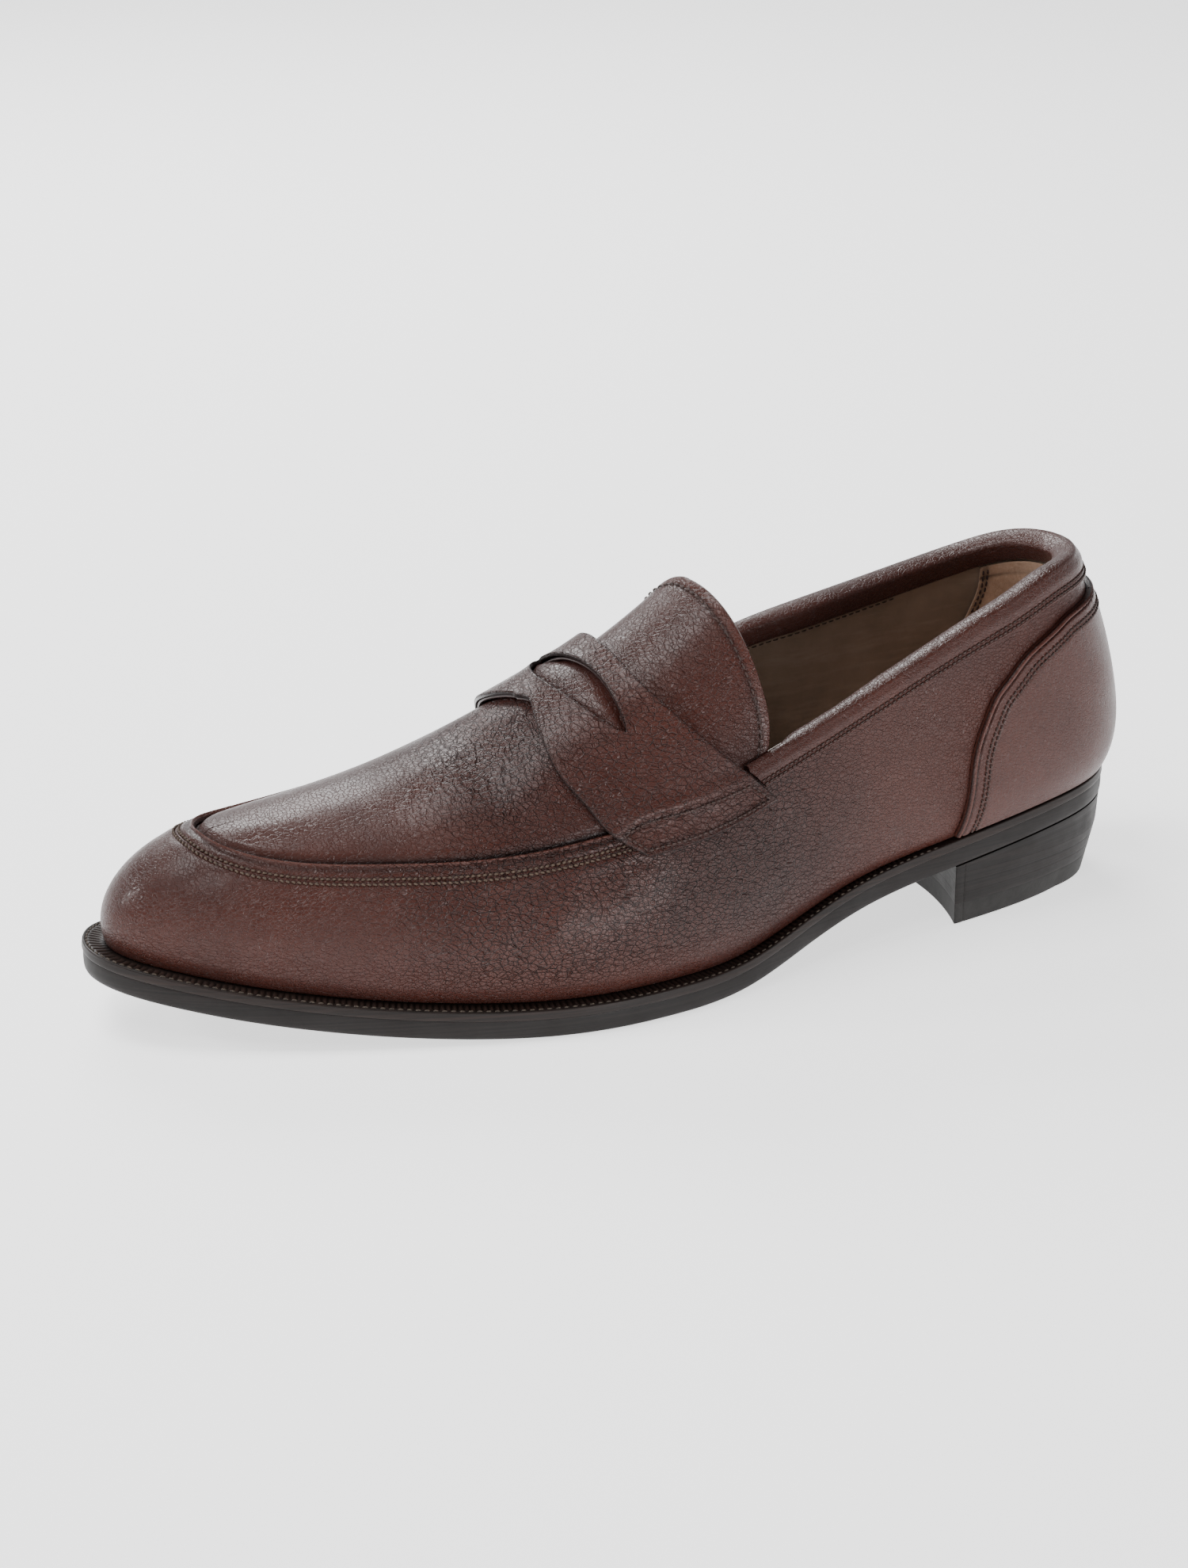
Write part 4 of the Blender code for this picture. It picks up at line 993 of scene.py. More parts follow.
def heel_counter_cover(materials):
    v, w = cover_places()
    face = last(v, w)
    edge = np.concatenate([face[:, 0], face[-1, 1:-1], face[::-1, -1]])
    away = distance_to(face, edge)
    relief = 0.35 * hump(away, 1.5, 0.25) - 0.25 * hump(away, 0.8, 0.35) - 0.12 * hump(away, 2.6, 0.9)
    relief = relief + row_grooves(away, COVER_ROWS, 0.34, 0.22) + edge_drop(away, 0.5)
    level = -COVER - COVER_GAP + COVER_SETTLE
    # Painted shade in the crevice at the edge and in the groove behind the piping, and a painted highlight
    # on the piping's crest.
    tone = 0.8 * hump(away, 1.5, 0.25) + (1 - smooth_step(away, 0.05, 0.4)) - 0.8 * hump(away, 0.85, 0.3)
    sheet("counter_cover_calf", materials, "heel_counter_cover", "upper", v, w, level + relief, COVER,
          tone=tone, grain=0.12, back=level + edge_drop(away, 0.5) * 0.4 + COVER_BACK)
    return v, w, level + relief, away


# ==== inside ======================================================================================
def quarter_lining(name, node, place, material):
    s = np.linspace(0.05, LINING_SPLIT - GAP, 170)
    v = place(s)
    top = wrap_top(v)
    share = np.concatenate([np.linspace(0, 0.9, 44), np.linspace(0.91, 1, 10)])
    w = top[:, None] * share[None]
    v, s = np.broadcast_to(v[:, None], w.shape), np.broadcast_to(s[:, None], w.shape)
    depth = UPPER + GAP + room_under_plug(s) * smooth_step(share, 0.45, 0.75)[None] + heel_extra(s)
    face = last(v, w)
    height = face[..., 2]
    ripple = np.sin((height * 0.9 + s * 0.35) / 2.6) * hump(s, 132, 14) * hump(height, 30, 14)
    sheet(name, [material], node, "lining", v, w, depth + 0.22 * ripple, LINING, grain=0.3)


def grip_places(rows, columns):
    share = np.linspace(0, 1, rows)
    reach = outer_v(grip_edge(GRIP_FOOT + (GRIP_TOP - GRIP_FOOT) * share))
    v = 1 + reach[:, None] * np.linspace(-1, 1, columns)[None]
    top = wrap_edge(v % 1) - COLLAR_INNER - GRIP_CLEAR
    z = GRIP_FOOT + (top - GRIP_FOOT) * share[:, None]
    w = np.array([w_at(v[k], z[k][:, None])[:, 0] for k in range(rows)])
    return v, w


def heel_grip(material):
    v, w = grip_places(60, 150)
    s = outline(v)[..., 0]
    face = last(v, w)
    _, high, left, right = grid_runs(face)
    side = np.minimum(left, right)
    depth = UPPER + LINING + 2 * GAP - GRIP_LIFT + heel_extra(s)
    depth = depth - row_grooves(side, GRIP_ROWS, 0.4, 0.25) - 0.35 * hump(high, 3.4, 0.35)
    # Painted shade in the seam's grooves along both sides and in the groove near the top.
    tone = -0.7 * hump(side, 1.85, 1.5) - 0.8 * hump(high, 3.4, 0.4)
    sheet("heel_grip_suede", [material], "heel_grip", "suede", v, w, depth, SUEDE, tone=tone, grain=0.3)
    return v, w, depth, side


# ==== the bottom ==================================================================================
def twin_stations(count):
    """Stations at the same distances from the heel on both sides, once round the shoe."""
    s = TOE_S * (1 - np.cos(np.linspace(0, np.pi, count))) / 2
    return np.concatenate([outer_v(s), inner_v(s[-2:0:-1])])


def middle_line(s):
    run = -soft_min(-soft_min(s, TOE_S - 18, 30), -18, 30)
    return (outline(outer_v(run)) + outline(inner_v(run))) / 2


def to_middle(rim_plan, s, shares, level):
    """A face under or over the foot: shares of the way from the middle line out to the rim."""
    middle = middle_line(s)[:, None]
    plan = middle + (rim_plan - middle) * shares[None, :, None]
    return np.concatenate([plan, (feather_height(plan[..., 0]) + level)[..., None]], -1)


def welt(materials):
    """The welt: notched across its top, sewn in a channel near its edge, smooth round the heel seat."""
    v = np.arange(2600) / 2600
    s = outline(v)[:, 0]
    reach = welt_reach(s)[:, None]
    tooled = smooth_step(s, *WELT_TOOLED)[:, None]
    length = run_along(outline(v))
    notch = (0.5 + 0.5 * np.cos(length * (2 * np.pi / NOTCH_PITCH)))[:, None] ** 2
    inwards = np.array([0, 0.08, 0.25, 0.5, 0.8, 1.05, 1.3, 1.6, 2.0, 2.6, 3.3, 4.0, 5, 6.4])
    inwards = inwards * (reach + WELT_HOLD) / WELT_BAND
    band = smooth_step(inwards, 1.5, 1.9) * (1 - smooth_step(inwards, 4.6, 5.2))
    sink = 0.45 * notch * band * tooled + 0.3 * hump(inwards, WELT_ROW, 0.3) * tooled
    sink = sink + edge_drop(inwards, 0.5)
    top = beside_feather(v, reach - inwards, WELT_TOP - sink)
    drops = np.array([0.75, 1.2, 1.7, 2.2, 2.5, 2.65])
    swell = 0.12 * np.sin(np.linspace(0, np.pi, 6)) - np.array([0, 0, 0, 0, 0.02, 0.06])
    side = beside_feather(v, reach + swell, WELT_TOP - drops)
    hidden = beside_feather(v, np.full((len(v), 1), -WELT_HOLD), WELT_TOP - WELT)
    sections = np.concatenate([hidden, side[:, ::-1], top], 1)
    tone = np.zeros(sections.shape[:2])
    # Painted highlight on the ridges between the tooled notches.
    tone[:, 7:] = 0.35 * band * (1 - notch) * tooled
    build, _, loop = closed_tube(sections, tone=tone, grain=0.2)
    build.skin(loop, ring=True)
    build.piece("welt_dyed", materials, ["welt"], "sole", sharp=60)


def outsole(materials):
    v = twin_stations(230)
    s = outline(v)[:, 0]
    reach = welt_reach(s)[:, None] - OUTSOLE_INSET
    top = WELT_TOP - WELT - OUTSOLE_GAP
    levels = np.array([-0.24, 0.0, 0.9, 1.8, 2.8, 3.8, 4.5, 4.85, 5.04, 5.1])
    swell = np.array([0.16, 0.22, 0.26, 0.28, 0.26, 0.18, 0.02, -0.2, -0.5, -0.9])
    edge = beside_feather(v, reach + swell, top - levels)
    shares = np.array([0.985, 0.96, 0.9, 0.8, 0.65, 0.45, 0.25, 0.1, 0])
    upper_face = to_middle(edge[:, :1, :2], s, shares, top)
    lower_face = to_middle(edge[:, -1:, :2], s, shares, top - OUTSOLE)
    sections = np.concatenate([upper_face[:, ::-1], edge, lower_face], 1)
    build = Build()
    build.skin(build.add(sections, grain=0.2), ring=True, flip=True)
    build.piece("outsole_leather", materials, ["outsole"], "sole", weld=0.01)


def sock_liner(material):
    v = twin_stations(120)
    s = outline(v)[:, 0]
    plan_edge = outline(v) - outward(v) * SOCK_INSET
    shares = np.array([0, 0.15, 0.35, 0.55, 0.75, 0.9, 0.97, 1])
    face = to_middle(plan_edge[:, None], s, shares, 2 * GAP + INSOLE + SOCK + SOCK_RISE * shares**6)
    back = face[:, ::-1].copy()
    back[..., 2] -= SOCK
    build = Build()
    build.skin(build.add(np.concatenate([face, back], 1), grain=0.3), ring=True)
    build.piece("sock_liner_leather", [material], ["sock_liner"], "lining", weld=0.01)


def sole_bottom(s):
    return feather_height(s) + WELT_TOP - WELT - HEEL_DROP - OUTSOLE


def heel_outline(height):
    """Heel section at a height, and how many of its points lie before the breast.

    It narrows downwards, most at the back, and its breast is hollow.
    """
    down = 1 - height / HEEL_TOP
    s = HEEL_BREAST * (1 - np.cos(np.linspace(0, np.pi / 2, 70)))
    near_breast = np.array([0, 0.15, 0.4, 0.8, 2.6, 2.8, 3.0, 3.2, 3.4])
    s = np.unique(np.concatenate([s, HEEL_BREAST - near_breast]))
    v = np.concatenate([inner_v(s[::-1]), outer_v(s[1:]) + 1])
    at = outline(v)[:, 0]
    reach = welt_reach(at) - HEEL_INSET - down * np.interp(at, *zip(*HEEL_TAPER))
    corner = HEEL_BREAST - at
    reach = reach - 0.35 * edge_drop(corner, 0.8) - 0.16 * hump(corner, 3.0, 0.2)
    rim = outline(v) + outward(v) * reach[:, None]
    across = np.linspace(0, 1, 60)[1:-1, None]
    breast = rim[-1] + (rim[0] - rim[-1]) * across
    breast[:, 0] -= BREAST_HOLLOW * 4 * (across * (1 - across))[:, 0]
    return np.concatenate([rim, breast]), len(rim)


def heel_layer(name, node, low, high, material, slot, wheeled=False):
    """One layer of the heel with eased edges. low and high are heights, or functions of s."""
    rings = []
    steps = [0, 0.03, 0.1, 0.25, 0.5, 0.75, 0.9, 0.97, 1]
    if wheeled:
        steps = [0, 0.02, 0.08, 0.25, 0.45, 0.6, WHEEL_STEP, 0.78, 0.82, 0.86, 0.9, 0.96, 1]
    flat_low, flat_high = (HEEL_TOP if callable(level) else level for level in (low, high))
    for step in steps:
        plan, count = heel_outline(flat_low + (flat_high - flat_low) * step)
        bottom = low(plan[:, 0]) if callable(low) else np.full(len(plan), low)
        upper = high(plan[:, 0]) if callable(high) else np.full(len(plan), high)
        z = bottom + (upper - bottom) * step
        ease = 0.05 * edge_drop(min(step, 1 - step) * 3, 0.3) / 0.3
        away = plan - plan[:count].mean(0)
        away /= np.linalg.norm(away, axis=1, keepdims=True)
        if wheeled and step == WHEEL_STEP:
            ease += WHEEL_DEPTH
        rings.append(np.concatenate([plan - away * ease, z[:, None]], 1))
    sections = np.stack(rings, 1)
    sections[:, 0, 2] -= 0.0 if low == 0.0 else LIFT_CLOSED * LIFT_GAP
    sections[:, -1, 2] += LIFT_CLOSED * LIFT_GAP
    build = Build()
    number = build.add(sections, grain=0.1)
    build.skin(number, ring=True)
    build.fan(number[:, 0])
    build.fan(number[:, -1], flip=True)
    build.piece(name, [material], [node], slot)


def heel(edge, rubber):
    heel_layer("heel_top_piece_rubber", "heel_top_piece", 0.0, HEEL_TOP_PIECE, rubber, "rubber")
    low = HEEL_TOP_PIECE + LIFT_GAP
    for number in (1, 2, 3):
        heel_layer(f"heel_lift_{number}_edge", f"heel_lift_{number}", low, low + HEEL_LIFT, edge, "sole")
        low += HEEL_LIFT + LIFT_GAP
    heel_layer("heel_seat_edge", "heel_seat_wedge", low, sole_bottom, edge, "sole", wheeled=True)


# ==== threads =====================================================================================
def apron_sewing(thread):
    v = np.linspace(*APRON_SEWN, 900)
    build = Build()
    for k, row in enumerate(APRON_ROWS):
        w, _ = below_edge(v, [row])
        sew(build, v, w[:, 0], 0.08, APRON_PITCH, radius=0.33, slant=math.radians(-14 if k else 14))
    build.piece("apron_sewing", thread, weld=0)


def collar_sewing(thread, places):
    _, spread, runs, width = places
    build = Build()
    for row in COLLAR_ROWS:
        column = np.array([np.interp(row, runs[::-1], line[::-1]) for line in spread])
        w, _ = below_edge(column, row * width[:, None])
        sew(build, column, w[:, 0], -GAP - BINDING + 0.12, COLLAR_PITCH, radius=0.27, slant=0.2)
    build.piece("collar_sewing", thread, weld=0)


def inside_sewing(thread, places):
    """The light stitches under the collar's inner half, on the quarter linings."""
    v = places[0]
    build = Build()
    s = outline(v)[:, 0]
    for part in (v < 1, v >= 1):
        keep = part & (s > LINING_SEWN[0]) & (s < LINING_SEWN[1])
        w, _ = below_edge(v[keep], [COLLAR_INNER + LINING_ROW])
        lie = UPPER + GAP + LINING + room_under_plug(s[keep]) + heel_extra(s[keep])
        sew(build, v[keep], w[:, 0], lie, LINING_PITCH, radius=-0.22, holes=False)
    build.piece("lining_sewing", thread, weld=0)


def cover_sewing(thread, cover):
    v, w, depth, away = cover
    build = Build()
    half = v.shape[1] // 2
    for row in COVER_ROWS:
        line_v, line_w, line_d = contour(v, w, depth, away, row, half)
        sew(build, line_v, line_w, line_d - 0.2, COVER_PITCH, radius=0.27, slant=0.25)
    build.piece("counter_cover_sewing", thread, weld=0)


def contour(v, w, depth, away, wanted, half):
    """The line in a counter-cover grid at one distance from its edge, up one side, over and down."""
    sides = []
    for columns in (np.arange(0, half + 1), np.arange(v.shape[1] - 1, half - 1, -1)):
        found = []
        for i in range(v.shape[0]):
            line = away[i, columns]
            k = int(np.argmax(line >= wanted))
            if line[k] < wanted or k == 0:
                break
            part = (wanted - line[k - 1]) / (line[k] - line[k - 1])
            a, b = columns[k - 1], columns[k]
            found.append([g[i, a] * (1 - part) + g[i, b] * part for g in (v, w, depth)])
        sides.append(np.array(found))
    top = []
    for j in range(v.shape[1]):
        line = away[:, j]
        tall = np.flatnonzero(line >= wanted)
        if len(tall) == 0 or tall[-1] == v.shape[0] - 1:
            continue
        k = tall[-1]
        part = (line[k] - wanted) / (line[k] - line[k + 1])
        place = [g[k, j] * (1 - part) + g[k + 1, j] * part for g in (v, w, depth)]
        if sides[0][-1, 0] < place[0] < sides[1][-1, 0]:
            top.append(place)
    path = np.concatenate([sides[0], np.array(top).reshape(-1, 3), sides[1][::-1]])
    return path.T


def tongue_sewing(thread, places):
    v, w, depth, behind = places
    a, b, c = line_at(v, w, depth, behind, TONGUE_ROW, -0.2)
    keep = b > wrap_top(a) + 0.02
    build = Build()
    sew(build, a[keep], b[keep], c[keep], TONGUE_PITCH, length=0.7, radius=0.27)
    build.piece("tongue_sewing", thread, weld=0)


def strap_sewing(thread, lines):
    """The boxes sewn at both feet of the strap: two rows along it, joined near its edges."""
    build = Build()
    rear, front = lines
    v, w, depth = (np.concatenate([rear[k], front[k][:, 1:]], 1) for k in (0, 1, 2))
    runs = grid_runs(layer(v, w, depth))
    low, high = STRAP_ROWS
    for end in (0, 1):
        foot = runs[end] + 500 * (runs[1 - end] < 20)
        level = {}
        for wanted in (low, high):
            a, b, c = line_at(v, w, depth, foot, wanted, -0.2)
            run = run_along(layer(a, b, c))
            keep = (run > low) & (run < run[-1] - low)
            a, b, c = a[keep], b[keep], c[keep]
            sew(build, a, b, c, STRAP_PITCH, radius=0.27)
            level[wanted] = [(a[k], b[k], c[k]) for k in (0, -1)]
        for first, second in zip(level[low], level[high]):
            share = np.linspace(0, 1, 30)[1:-1, None]
            a, b, _ = (np.array(first) + (np.array(second) - np.array(first)) * share).T
            sew(build, a, b, STRAP_UNDER - STRAP, STRAP_PITCH, radius=0.27)
    build.piece("saddle_strap_sewing", thread, weld=0)


def grip_sewing(thread, grip):
    v, w, depth, side = grip
    build = Build()
    half = v.shape[1] // 2
    for columns in (slice(0, half), slice(half, None)):
        away, *part = (grid[4:-1, columns].T for grid in (side, v, w, depth))
        for wanted in GRIP_ROWS:
            a, b, c = line_at(*part, away, wanted)
            sew(build, a, b, c + SUEDE, GRIP_PITCH, radius=-0.26, holes=False)
    build.piece("heel_grip_sewing", thread, weld=0)


def welt_sewing(thread):
    """Stitches in the channel near the welt's edge, from breast to breast."""
    v = np.linspace(outer_v(WELT_SEWN), inner_v(WELT_SEWN), 1600)
    s = outline(v)[:, 0]
    reach = welt_reach(s)
    inwards = WELT_ROW * (reach + WELT_HOLD) / WELT_BAND
    plan = outline(v) + outward(v) * (reach - inwards)[:, None]
    z = feather_height(plan[:, 0]) + WELT_TOP - 0.28
    points = np.concatenate([plan, z[:, None]], 1)
    normals = np.tile([0.0, 0.0, 1.0], (len(v), 1))
    build = Build()
    sew_line(build, points, normals, WELT_PITCH, length=0.72, radius=0.3, holes=False)
    build.piece("welt_sewing", thread, weld=0)


# ==== materials ===================================================================================
class Paint:
    """A Principled material and a short way to add nodes to it."""

    def __init__(self, name, roughness=0.5, **sockets):
        self.made = bpy.data.materials.new(name)
        self.made.use_nodes = True
        self.tree = self.made.node_tree
        self.shader = self.tree.nodes["Principled BSDF"]
        self.shader.inputs["Roughness"].default_value = roughness
        for key, value in sockets.items():
            self.shader.inputs[key.replace("_", " ")].default_value = value
        self.place = self.node("TexCoord").outputs["Object"]

    def node(self, kind, inputs=None, **settings):
        made = self.tree.nodes.new("ShaderNode" + kind)
        for key, value in settings.items():
            setattr(made, key, value)
        for key, value in (inputs or {}).items():
            socket = made.inputs[key]
            if isinstance(value, bpy.types.NodeSocket):
                self.tree.links.new(value, socket)
            else:
                socket.default_value = value
        return made

    def noise(self, scale, detail=2.0, rough=0.5, vector=None, distortion=0.0):
        inputs = {"Vector": vector or self.place, "Scale": scale, "Detail": detail,
                  "Roughness": rough, "Distortion": distortion}
        return self.node("TexNoise", inputs).outputs["Fac"]

    def stretched(self, scale, turn=(0.0, 0.0, 0.0)):
        return self.node("Mapping", {"Vector": self.place, "Scale": scale, "Rotation": turn}).outputs[0]

    def bent(self, amount, scale):
        """Places shaken a little, so that cells in them look irregular."""
        noise = {"Vector": self.place, "Scale": scale, "Detail": 2.0}
        shake = self.node("TexNoise", noise).outputs["Color"]
        shake = self.node("VectorMath", {0: shake, 1: (amount,) * 3}, operation="MULTIPLY").outputs[0]
        return self.node("VectorMath", {0: self.place, 1: shake}, operation="ADD").outputs[0]

    def furrows(self, vector, scale, width):
        """0 in the furrows between cells and 1 on the cells."""
        made = self.node("TexVoronoi", {"Vector": vector, "Scale": scale}, feature="DISTANCE_TO_EDGE")
        return self.fit(made.outputs[0], 0.0, width)

    def math(self, operation, a, b=0.0, clamp=False):
        return self.node("Math", {0: a, 1: b}, operation=operation, use_clamp=clamp).outputs[0]

    def fit(self, value, low, high, new_low=0.0, new_high=1.0):
        inputs = {"Value": value, "From Min": low, "From Max": high, "To Min": new_low, "To Max": new_high}
        return self.node("MapRange", inputs).outputs["Result"]

    def mix(self, share, a, b):
        full = [(*c, 1.0) if isinstance(c, tuple) and len(c) == 3 else c for c in (a, b)]
        return self.node("Mix", {0: share, 6: full[0], 7: full[1]}, data_type="RGBA").outputs[2]

    def value(self, name):
        return self.node("Attribute", attribute_name=name).outputs["Fac"]

    def cloud(self, base, colour, noise, low, high, most=1.0):
        """Colour laid over the base where the noise lies between low and high and above."""
        return self.mix(self.fit(noise, low, high, 0.0, most), base, colour)

    def lined(self, base, colour, sign=-1.0):
        """Colour laid over the base where the vertex value marks it: painted shade and painted highlight
        along seams, stitch rows, grooves and crests, and the darker dyed edges of the strap.
        """
        return self.mix(self.math("MULTIPLY", self.value("tone"), sign, True), base, colour)

    def colour(self, socket):
        self.tree.links.new(socket, self.shader.inputs["Base Color"])

    def roughness(self, socket):
        self.tree.links.new(socket, self.shader.inputs["Roughness"])

    def bump(self, height, distance, strength=1.0, under=None):
        inputs = {"Height": height, "Distance": distance, "Strength": strength}
        if under is not None:
            inputs["Normal"] = under
        made = self.node("Bump", inputs).outputs[0]
        self.tree.links.new(made, self.shader.inputs["Normal"])
        return made


def scaled(colour, share):
    return tuple(share * c for c in colour)


def calf(name, mid, dark, light, roughness=0.33, pebble=900.0):
    """Smooth full-grain calf: cloudy dye, fine pebbles, cracked cells where the grain value is high."""
    paint = Paint(name, roughness, Coat_Weight=0.06, Coat_Roughness=0.2, Specular_IOR_Level=0.26)
    grain = paint.value("grain")
    strong = paint.fit(grain, 0.15, 1.0)
    base = paint.cloud(dark, mid, paint.noise(34.0, 4.0, 0.6), 0.3, 0.72)
    base = paint.cloud(base, light, paint.noise(11.0, 2.0), 0.45, 0.75, 0.45)
    base = paint.cloud(base, dark, paint.noise(420.0, 2.0), 0.45, 0.8, 0.3)
    bent = paint.bent(0.0016, 150.0)
    wide = paint.node("VectorMath", {0: bent, 1: (0.8, 1.0, 1.25)}, operation="MULTIPLY").outputs[0]
    fine = paint.furrows(wide, pebble, 0.1)
    turned = {"Vector": bent, "Scale": (0.8, 0.75, 1.3), "Rotation": (0.5, 0.1, 0.2)}
    cracks = paint.furrows(paint.node("Mapping", turned).outputs[0], 0.68 * pebble, 0.075)
    furrow = paint.math("MULTIPLY", paint.fit(cracks, 1.0, 0.0, 0.0, 0.4), strong)
    base = paint.mix(furrow, base, scaled(dark, 0.45))
    shallow = paint.fit(fine, 1.0, 0.0, 0.0, 0.4)
    shallow = paint.math("MULTIPLY", shallow, paint.fit(grain, 0.0, 0.6, 0.4, 1.0))
    base = paint.mix(shallow, base, dark)
    # Darker where the vertex value is positive (painted shade, and on the strap its dyed edges), painted
    # highlight where it is negative.
    base = paint.lined(base, scaled(dark, 0.3), 1.0)
    paint.colour(paint.lined(base, light))
    paint.roughness(paint.fit(paint.noise(60.0, 3.0), 0.3, 0.7, roughness - 0.06, roughness + 0.1))
    skin = paint.bump(paint.noise(1500.0, 3.0, 0.6), 0.00008, 0.5)
    height = paint.math("MULTIPLY", fine, paint.fit(grain, 0.0, 0.8, 0.35, 1.0))
    pebbles = paint.bump(height, 0.00016, 0.9, skin)
    deep = paint.bump(paint.math("MULTIPLY", cracks, strong), 0.0006, 1.0, pebbles)
    rumple = paint.noise(1.0, 4.0, 0.6, paint.stretched((420.0, 170.0, 260.0), (0.5, 0.25, 0.6)), 0.6)
    rumple = paint.math("MULTIPLY", rumple, paint.fit(grain, 0.1, 1.0, 0.15, 1.0))
    paint.bump(rumple, 0.0007, 0.6, deep)
    return paint.made


def lining_calf(name, mid, dark, light, roughness):
    paint = Paint(name, roughness, Specular_IOR_Level=0.4)
    streak = paint.noise(1.0, 4.0, 0.6, paint.stretched((60.0, 60.0, 420.0)))
    base = paint.cloud(dark, mid, paint.noise(40.0, 4.0, 0.6), 0.3, 0.7)
    base = paint.cloud(base, light, streak, 0.5, 0.8, 0.5)
    paint.colour(paint.lined(base, scaled(dark, 0.35)))
    fine = paint.bump(paint.noise(1300.0, 2.0), 0.00005, 0.6)
    paint.bump(streak, 0.0003, 0.35, fine)
    return paint.made


def suede(name, mid, dark, light):
    paint = Paint(name, 0.95, Specular_IOR_Level=0.15, Sheen_Weight=0.35, Sheen_Roughness=0.5)
    nap = paint.noise(900.0, 4.0, 0.7)
    brushed = paint.noise(1.0, 3.0, 0.6, paint.stretched((160.0, 90.0, 60.0)))
    base = paint.cloud(dark, mid, brushed, 0.35, 0.65)
    base = paint.cloud(base, light, nap, 0.45, 0.75, 0.6)
    # Painted shade along the grip's seam and top groove, from the vertex value.
    paint.colour(paint.lined(base, scaled(dark, 0.3)))
    paint.bump(nap, 0.0003, 0.7)
    return paint.made


def thread(name, light, dark):
    paint = Paint(name, 0.65)
    twist = paint.noise(1900.0, 2.0)
    paint.colour(paint.cloud(dark, light, twist, 0.35, 0.65))
    paint.bump(twist, 0.0001, 0.8)
    return paint.made


def edge_paint(name, colour, roughness=0.35):
    """The dark, slightly glossy dressing of a cut leather edge."""
    paint = Paint(name, roughness, Coat_Weight=0.3, Coat_Roughness=0.2)
    rub = paint.noise(260.0, 3.0, 0.6)
    paint.colour(paint.cloud(colour, scaled(colour, 2.2), rub, 0.5, 0.85))
    paint.bump(paint.noise(800.0, 2.0), 0.00008, 0.5)
    return paint.made


def sole_edge(name, mid, dark, roughness):
    """Dyed and waxed edge of stacked leather: fine layers along it, faint scuffs."""
    paint = Paint(name, roughness, Specular_IOR_Level=0.22)
    layers = paint.noise(1.0, 4.0, 0.6, paint.stretched((22.0, 22.0, 1500.0)))
    scuff = paint.noise(75.0, 5.0, 0.65)
    base = paint.cloud(dark, mid, layers, 0.4, 0.7)
    base = paint.cloud(base, scaled(mid, 1.8), scuff, 0.6, 0.85, 0.5)
    # Painted highlight where the vertex value is positive: the ridges between the welt's notches.
    paint.colour(paint.lined(base, scaled(mid, 2.6), 1.0))
    paint.roughness(paint.fit(scuff, 0.35, 0.8, roughness - 0.04, roughness + 0.2))
    fine = paint.bump(layers, 0.00009, 0.6)
    paint.bump(scuff, 0.0002, 0.25, fine)
    return paint.made


def plain(name, mid, dark, roughness, scale=300.0, metallic=0.0):
    """Plainly mottled stuff for pieces inside the shoe."""
    paint = Paint(name, roughness, Metallic=metallic, Specular_IOR_Level=0.25)
    fleck = paint.noise(scale, 4.0, 0.65)
    paint.colour(paint.cloud(dark, mid, fleck, 0.35, 0.7))
    paint.bump(fleck, 0.0002, 0.5)
    return paint.made


# ==== setting =====================================================================================
def soft_light(name, place, aim, size, power):
    lamp = bpy.data.lights.new(name, "AREA")
    lamp.shape = "RECTANGLE"
    lamp.size, lamp.size_y = size
    lamp.energy = power
    obj = bpy.data.objects.new(name, lamp)
    obj.location = place
    obj.rotation_euler = (Vector(aim) - Vector(place)).to_track_quat("-Z", "Y").to_euler()
    bpy.context.scene.collection.objects.link(obj)


def floor():
    mesh = bpy.data.meshes.new("floor")
    corners = [(x * FLOOR_HALF, y * FLOOR_HALF, 0) for x, y in ((-1, -1), (1, -1), (1, 1), (-1, 1))]
    mesh.from_pydata(corners, [], [(0, 1, 2, 3)])
    paint = Paint("pale_floor", 0.9, Emission_Color=(1.0, 1.0, 1.0, 1.0), Emission_Strength=FLOOR_GLOW)
    cloud = paint.noise(1.5, 2.0)
    paint.colour(paint.mix(cloud, (0.86, 0.86, 0.87), (0.9, 0.9, 0.9)))
    mesh.materials.append(paint.made)
    obj = bpy.data.objects.new("floor", mesh)
    obj.location.z = FLOOR_LEVEL
    bpy.context.scene.collection.objects.link(obj)


def studio():
    """Lights and a sky that is pale at the horizon and dim above."""
    world = bpy.data.worlds.new("studio")
    world.use_nodes = True
    tree = world.node_tree
    tree.nodes["Background"].inputs[0].default_value = SKY_COLOUR
    height = tree.nodes.new("ShaderNodeSeparateXYZ")
    tree.links.new(tree.nodes.new("ShaderNodeTexCoord").outputs["Generated"], height.inputs[0])
    fade = tree.nodes.new("ShaderNodeMapRange")
    tree.links.new(height.outputs["Z"], fade.inputs["Value"])
    for key, value in zip(("From Min", "From Max", "To Min", "To Max"), (*SKY_FADE, *SKY_STRENGTH)):
        fade.inputs[key].default_value = value
    tree.links.new(fade.outputs["Result"], tree.nodes["Background"].inputs[1])
    bpy.context.scene.world = world
    for light in LIGHTS:
        soft_light(*light)


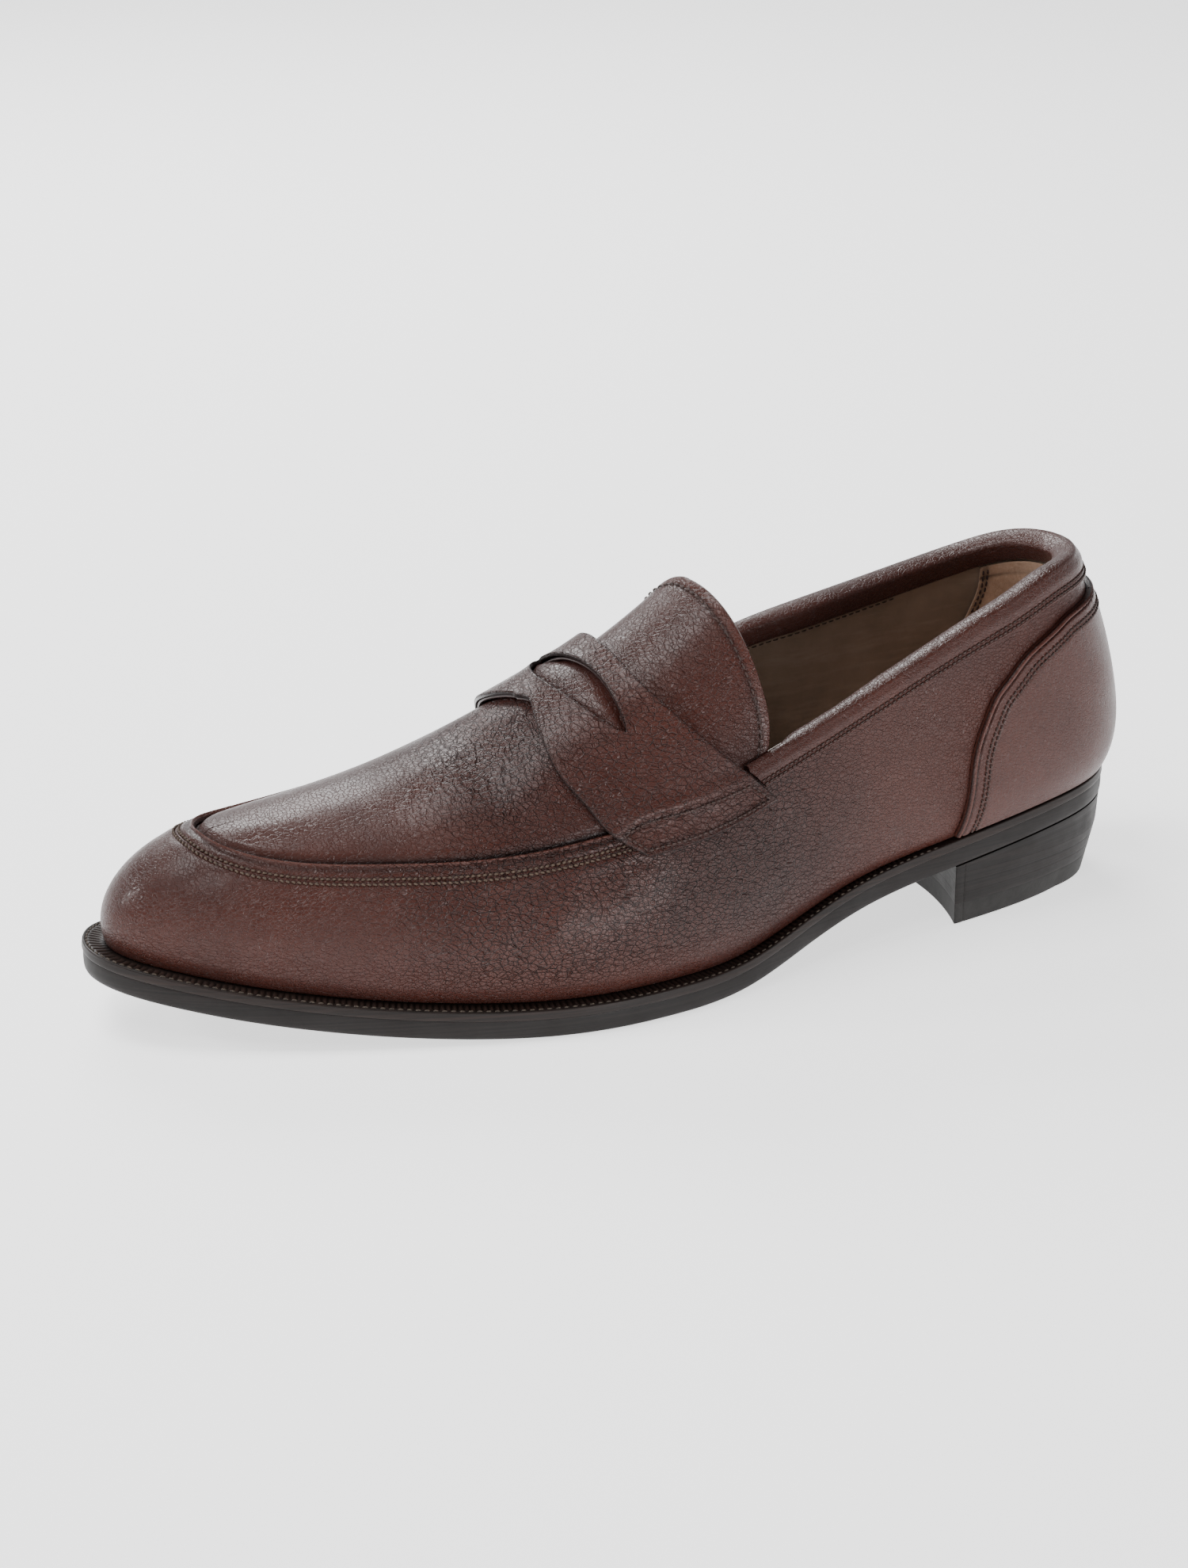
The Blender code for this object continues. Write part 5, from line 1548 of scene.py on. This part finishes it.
def camera():
    made = bpy.data.cameras.new("camera")
    made.lens = CAMERA_LENS
    made.sensor_width = CAMERA_SENSOR
    obj = bpy.data.objects.new("camera", made)
    flat = math.cos(CAMERA_RISE)
    back = Vector((math.sin(CAMERA_TURN) * flat, -math.cos(CAMERA_TURN) * flat, math.sin(CAMERA_RISE)))
    obj.location = Vector(CAMERA_AIM) + back * CAMERA_DISTANCE
    obj.rotation_euler = (-back).to_track_quat("-Z", "Y").to_euler()
    bpy.context.scene.collection.objects.link(obj)
    bpy.context.scene.camera = obj


def main():
    for obj in list(bpy.data.objects):
        if obj.name in ("Cube", "Light", "Camera"):
            bpy.data.objects.remove(obj)
    upper = calf("calf_brown", *CALF)
    painted = edge_paint("edge_paint", EDGE_PAINT)
    tan = lining_calf("lining_tan", *TAN, 0.4)
    # near-black needle holes: painted shade
    hole_shade = edge_paint("needle_hole_shade", NEEDLE_HOLE_SHADE, 0.8)
    khaki, brown, dim = ([thread(name, *colours), hole_shade] for name, colours in (
        ("thread_khaki", KHAKI), ("thread_brown", BROWN), ("thread_dim", DIM)))
    sole = sole_edge("sole_dye", *SOLE_DYE, 0.46)

    vamp_wrap([upper])
    apron_plug([upper])
    tongue_lines = tongue([upper])
    # the strap's calf is a lighter copy of the upper's: painted light
    strap_lines = saddle_strap([calf("calf_strap_lit", *STRAP_CALF_LIT, 0.34, 820.0), painted])
    strap_backing([edge_paint("strap_underside", UNDERSIDE, 0.5)])
    collar_places = topline_collar([upper])
    cover = heel_counter_cover([upper])
    tongue_lining(tan)
    vamp_lining(tan)
    quarter_lining("lining_outer_side", "quarter_lining_outer", outer_v, tan)
    quarter_lining("lining_inner_side", "quarter_lining_inner", inner_v, tan)
    grip = heel_grip(suede("suede_tan", *SUEDE_TAN))
    welt([sole_edge("welt_dye", *WELT_DYE, 0.42)])
    outsole([sole])
    sock_liner(tan)
    heel(sole, plain("rubber_black", *RUBBER, 0.6))

    apron_sewing(khaki)
    collar_sewing(brown, collar_places)
    inside_sewing(khaki, collar_places)
    cover_sewing(brown, cover)
    tongue_sewing(brown, tongue_lines)
    strap_sewing(brown, strap_lines)
    grip_sewing(brown, grip)
    welt_sewing(dim)

    board = plain("stiffener_board", *STIFFENER_BOARD, 0.8)
    hidden = {
        "heel_counter_stiffener": board,
        "toe_puff": board,
        "insole": plain("insole_board", *INSOLE_BOARD, 0.7),
        "cork_filler": plain("cork", *CORK, 0.9, 700.0),
        "shank": plain("steel", *STEEL, 0.35, 200.0, 1.0),
    }
    for node, material in hidden.items():
        for slot in frame["nodes"][node].material_slots:
            slot.material = material
    floor()
    studio()
    camera()


main()
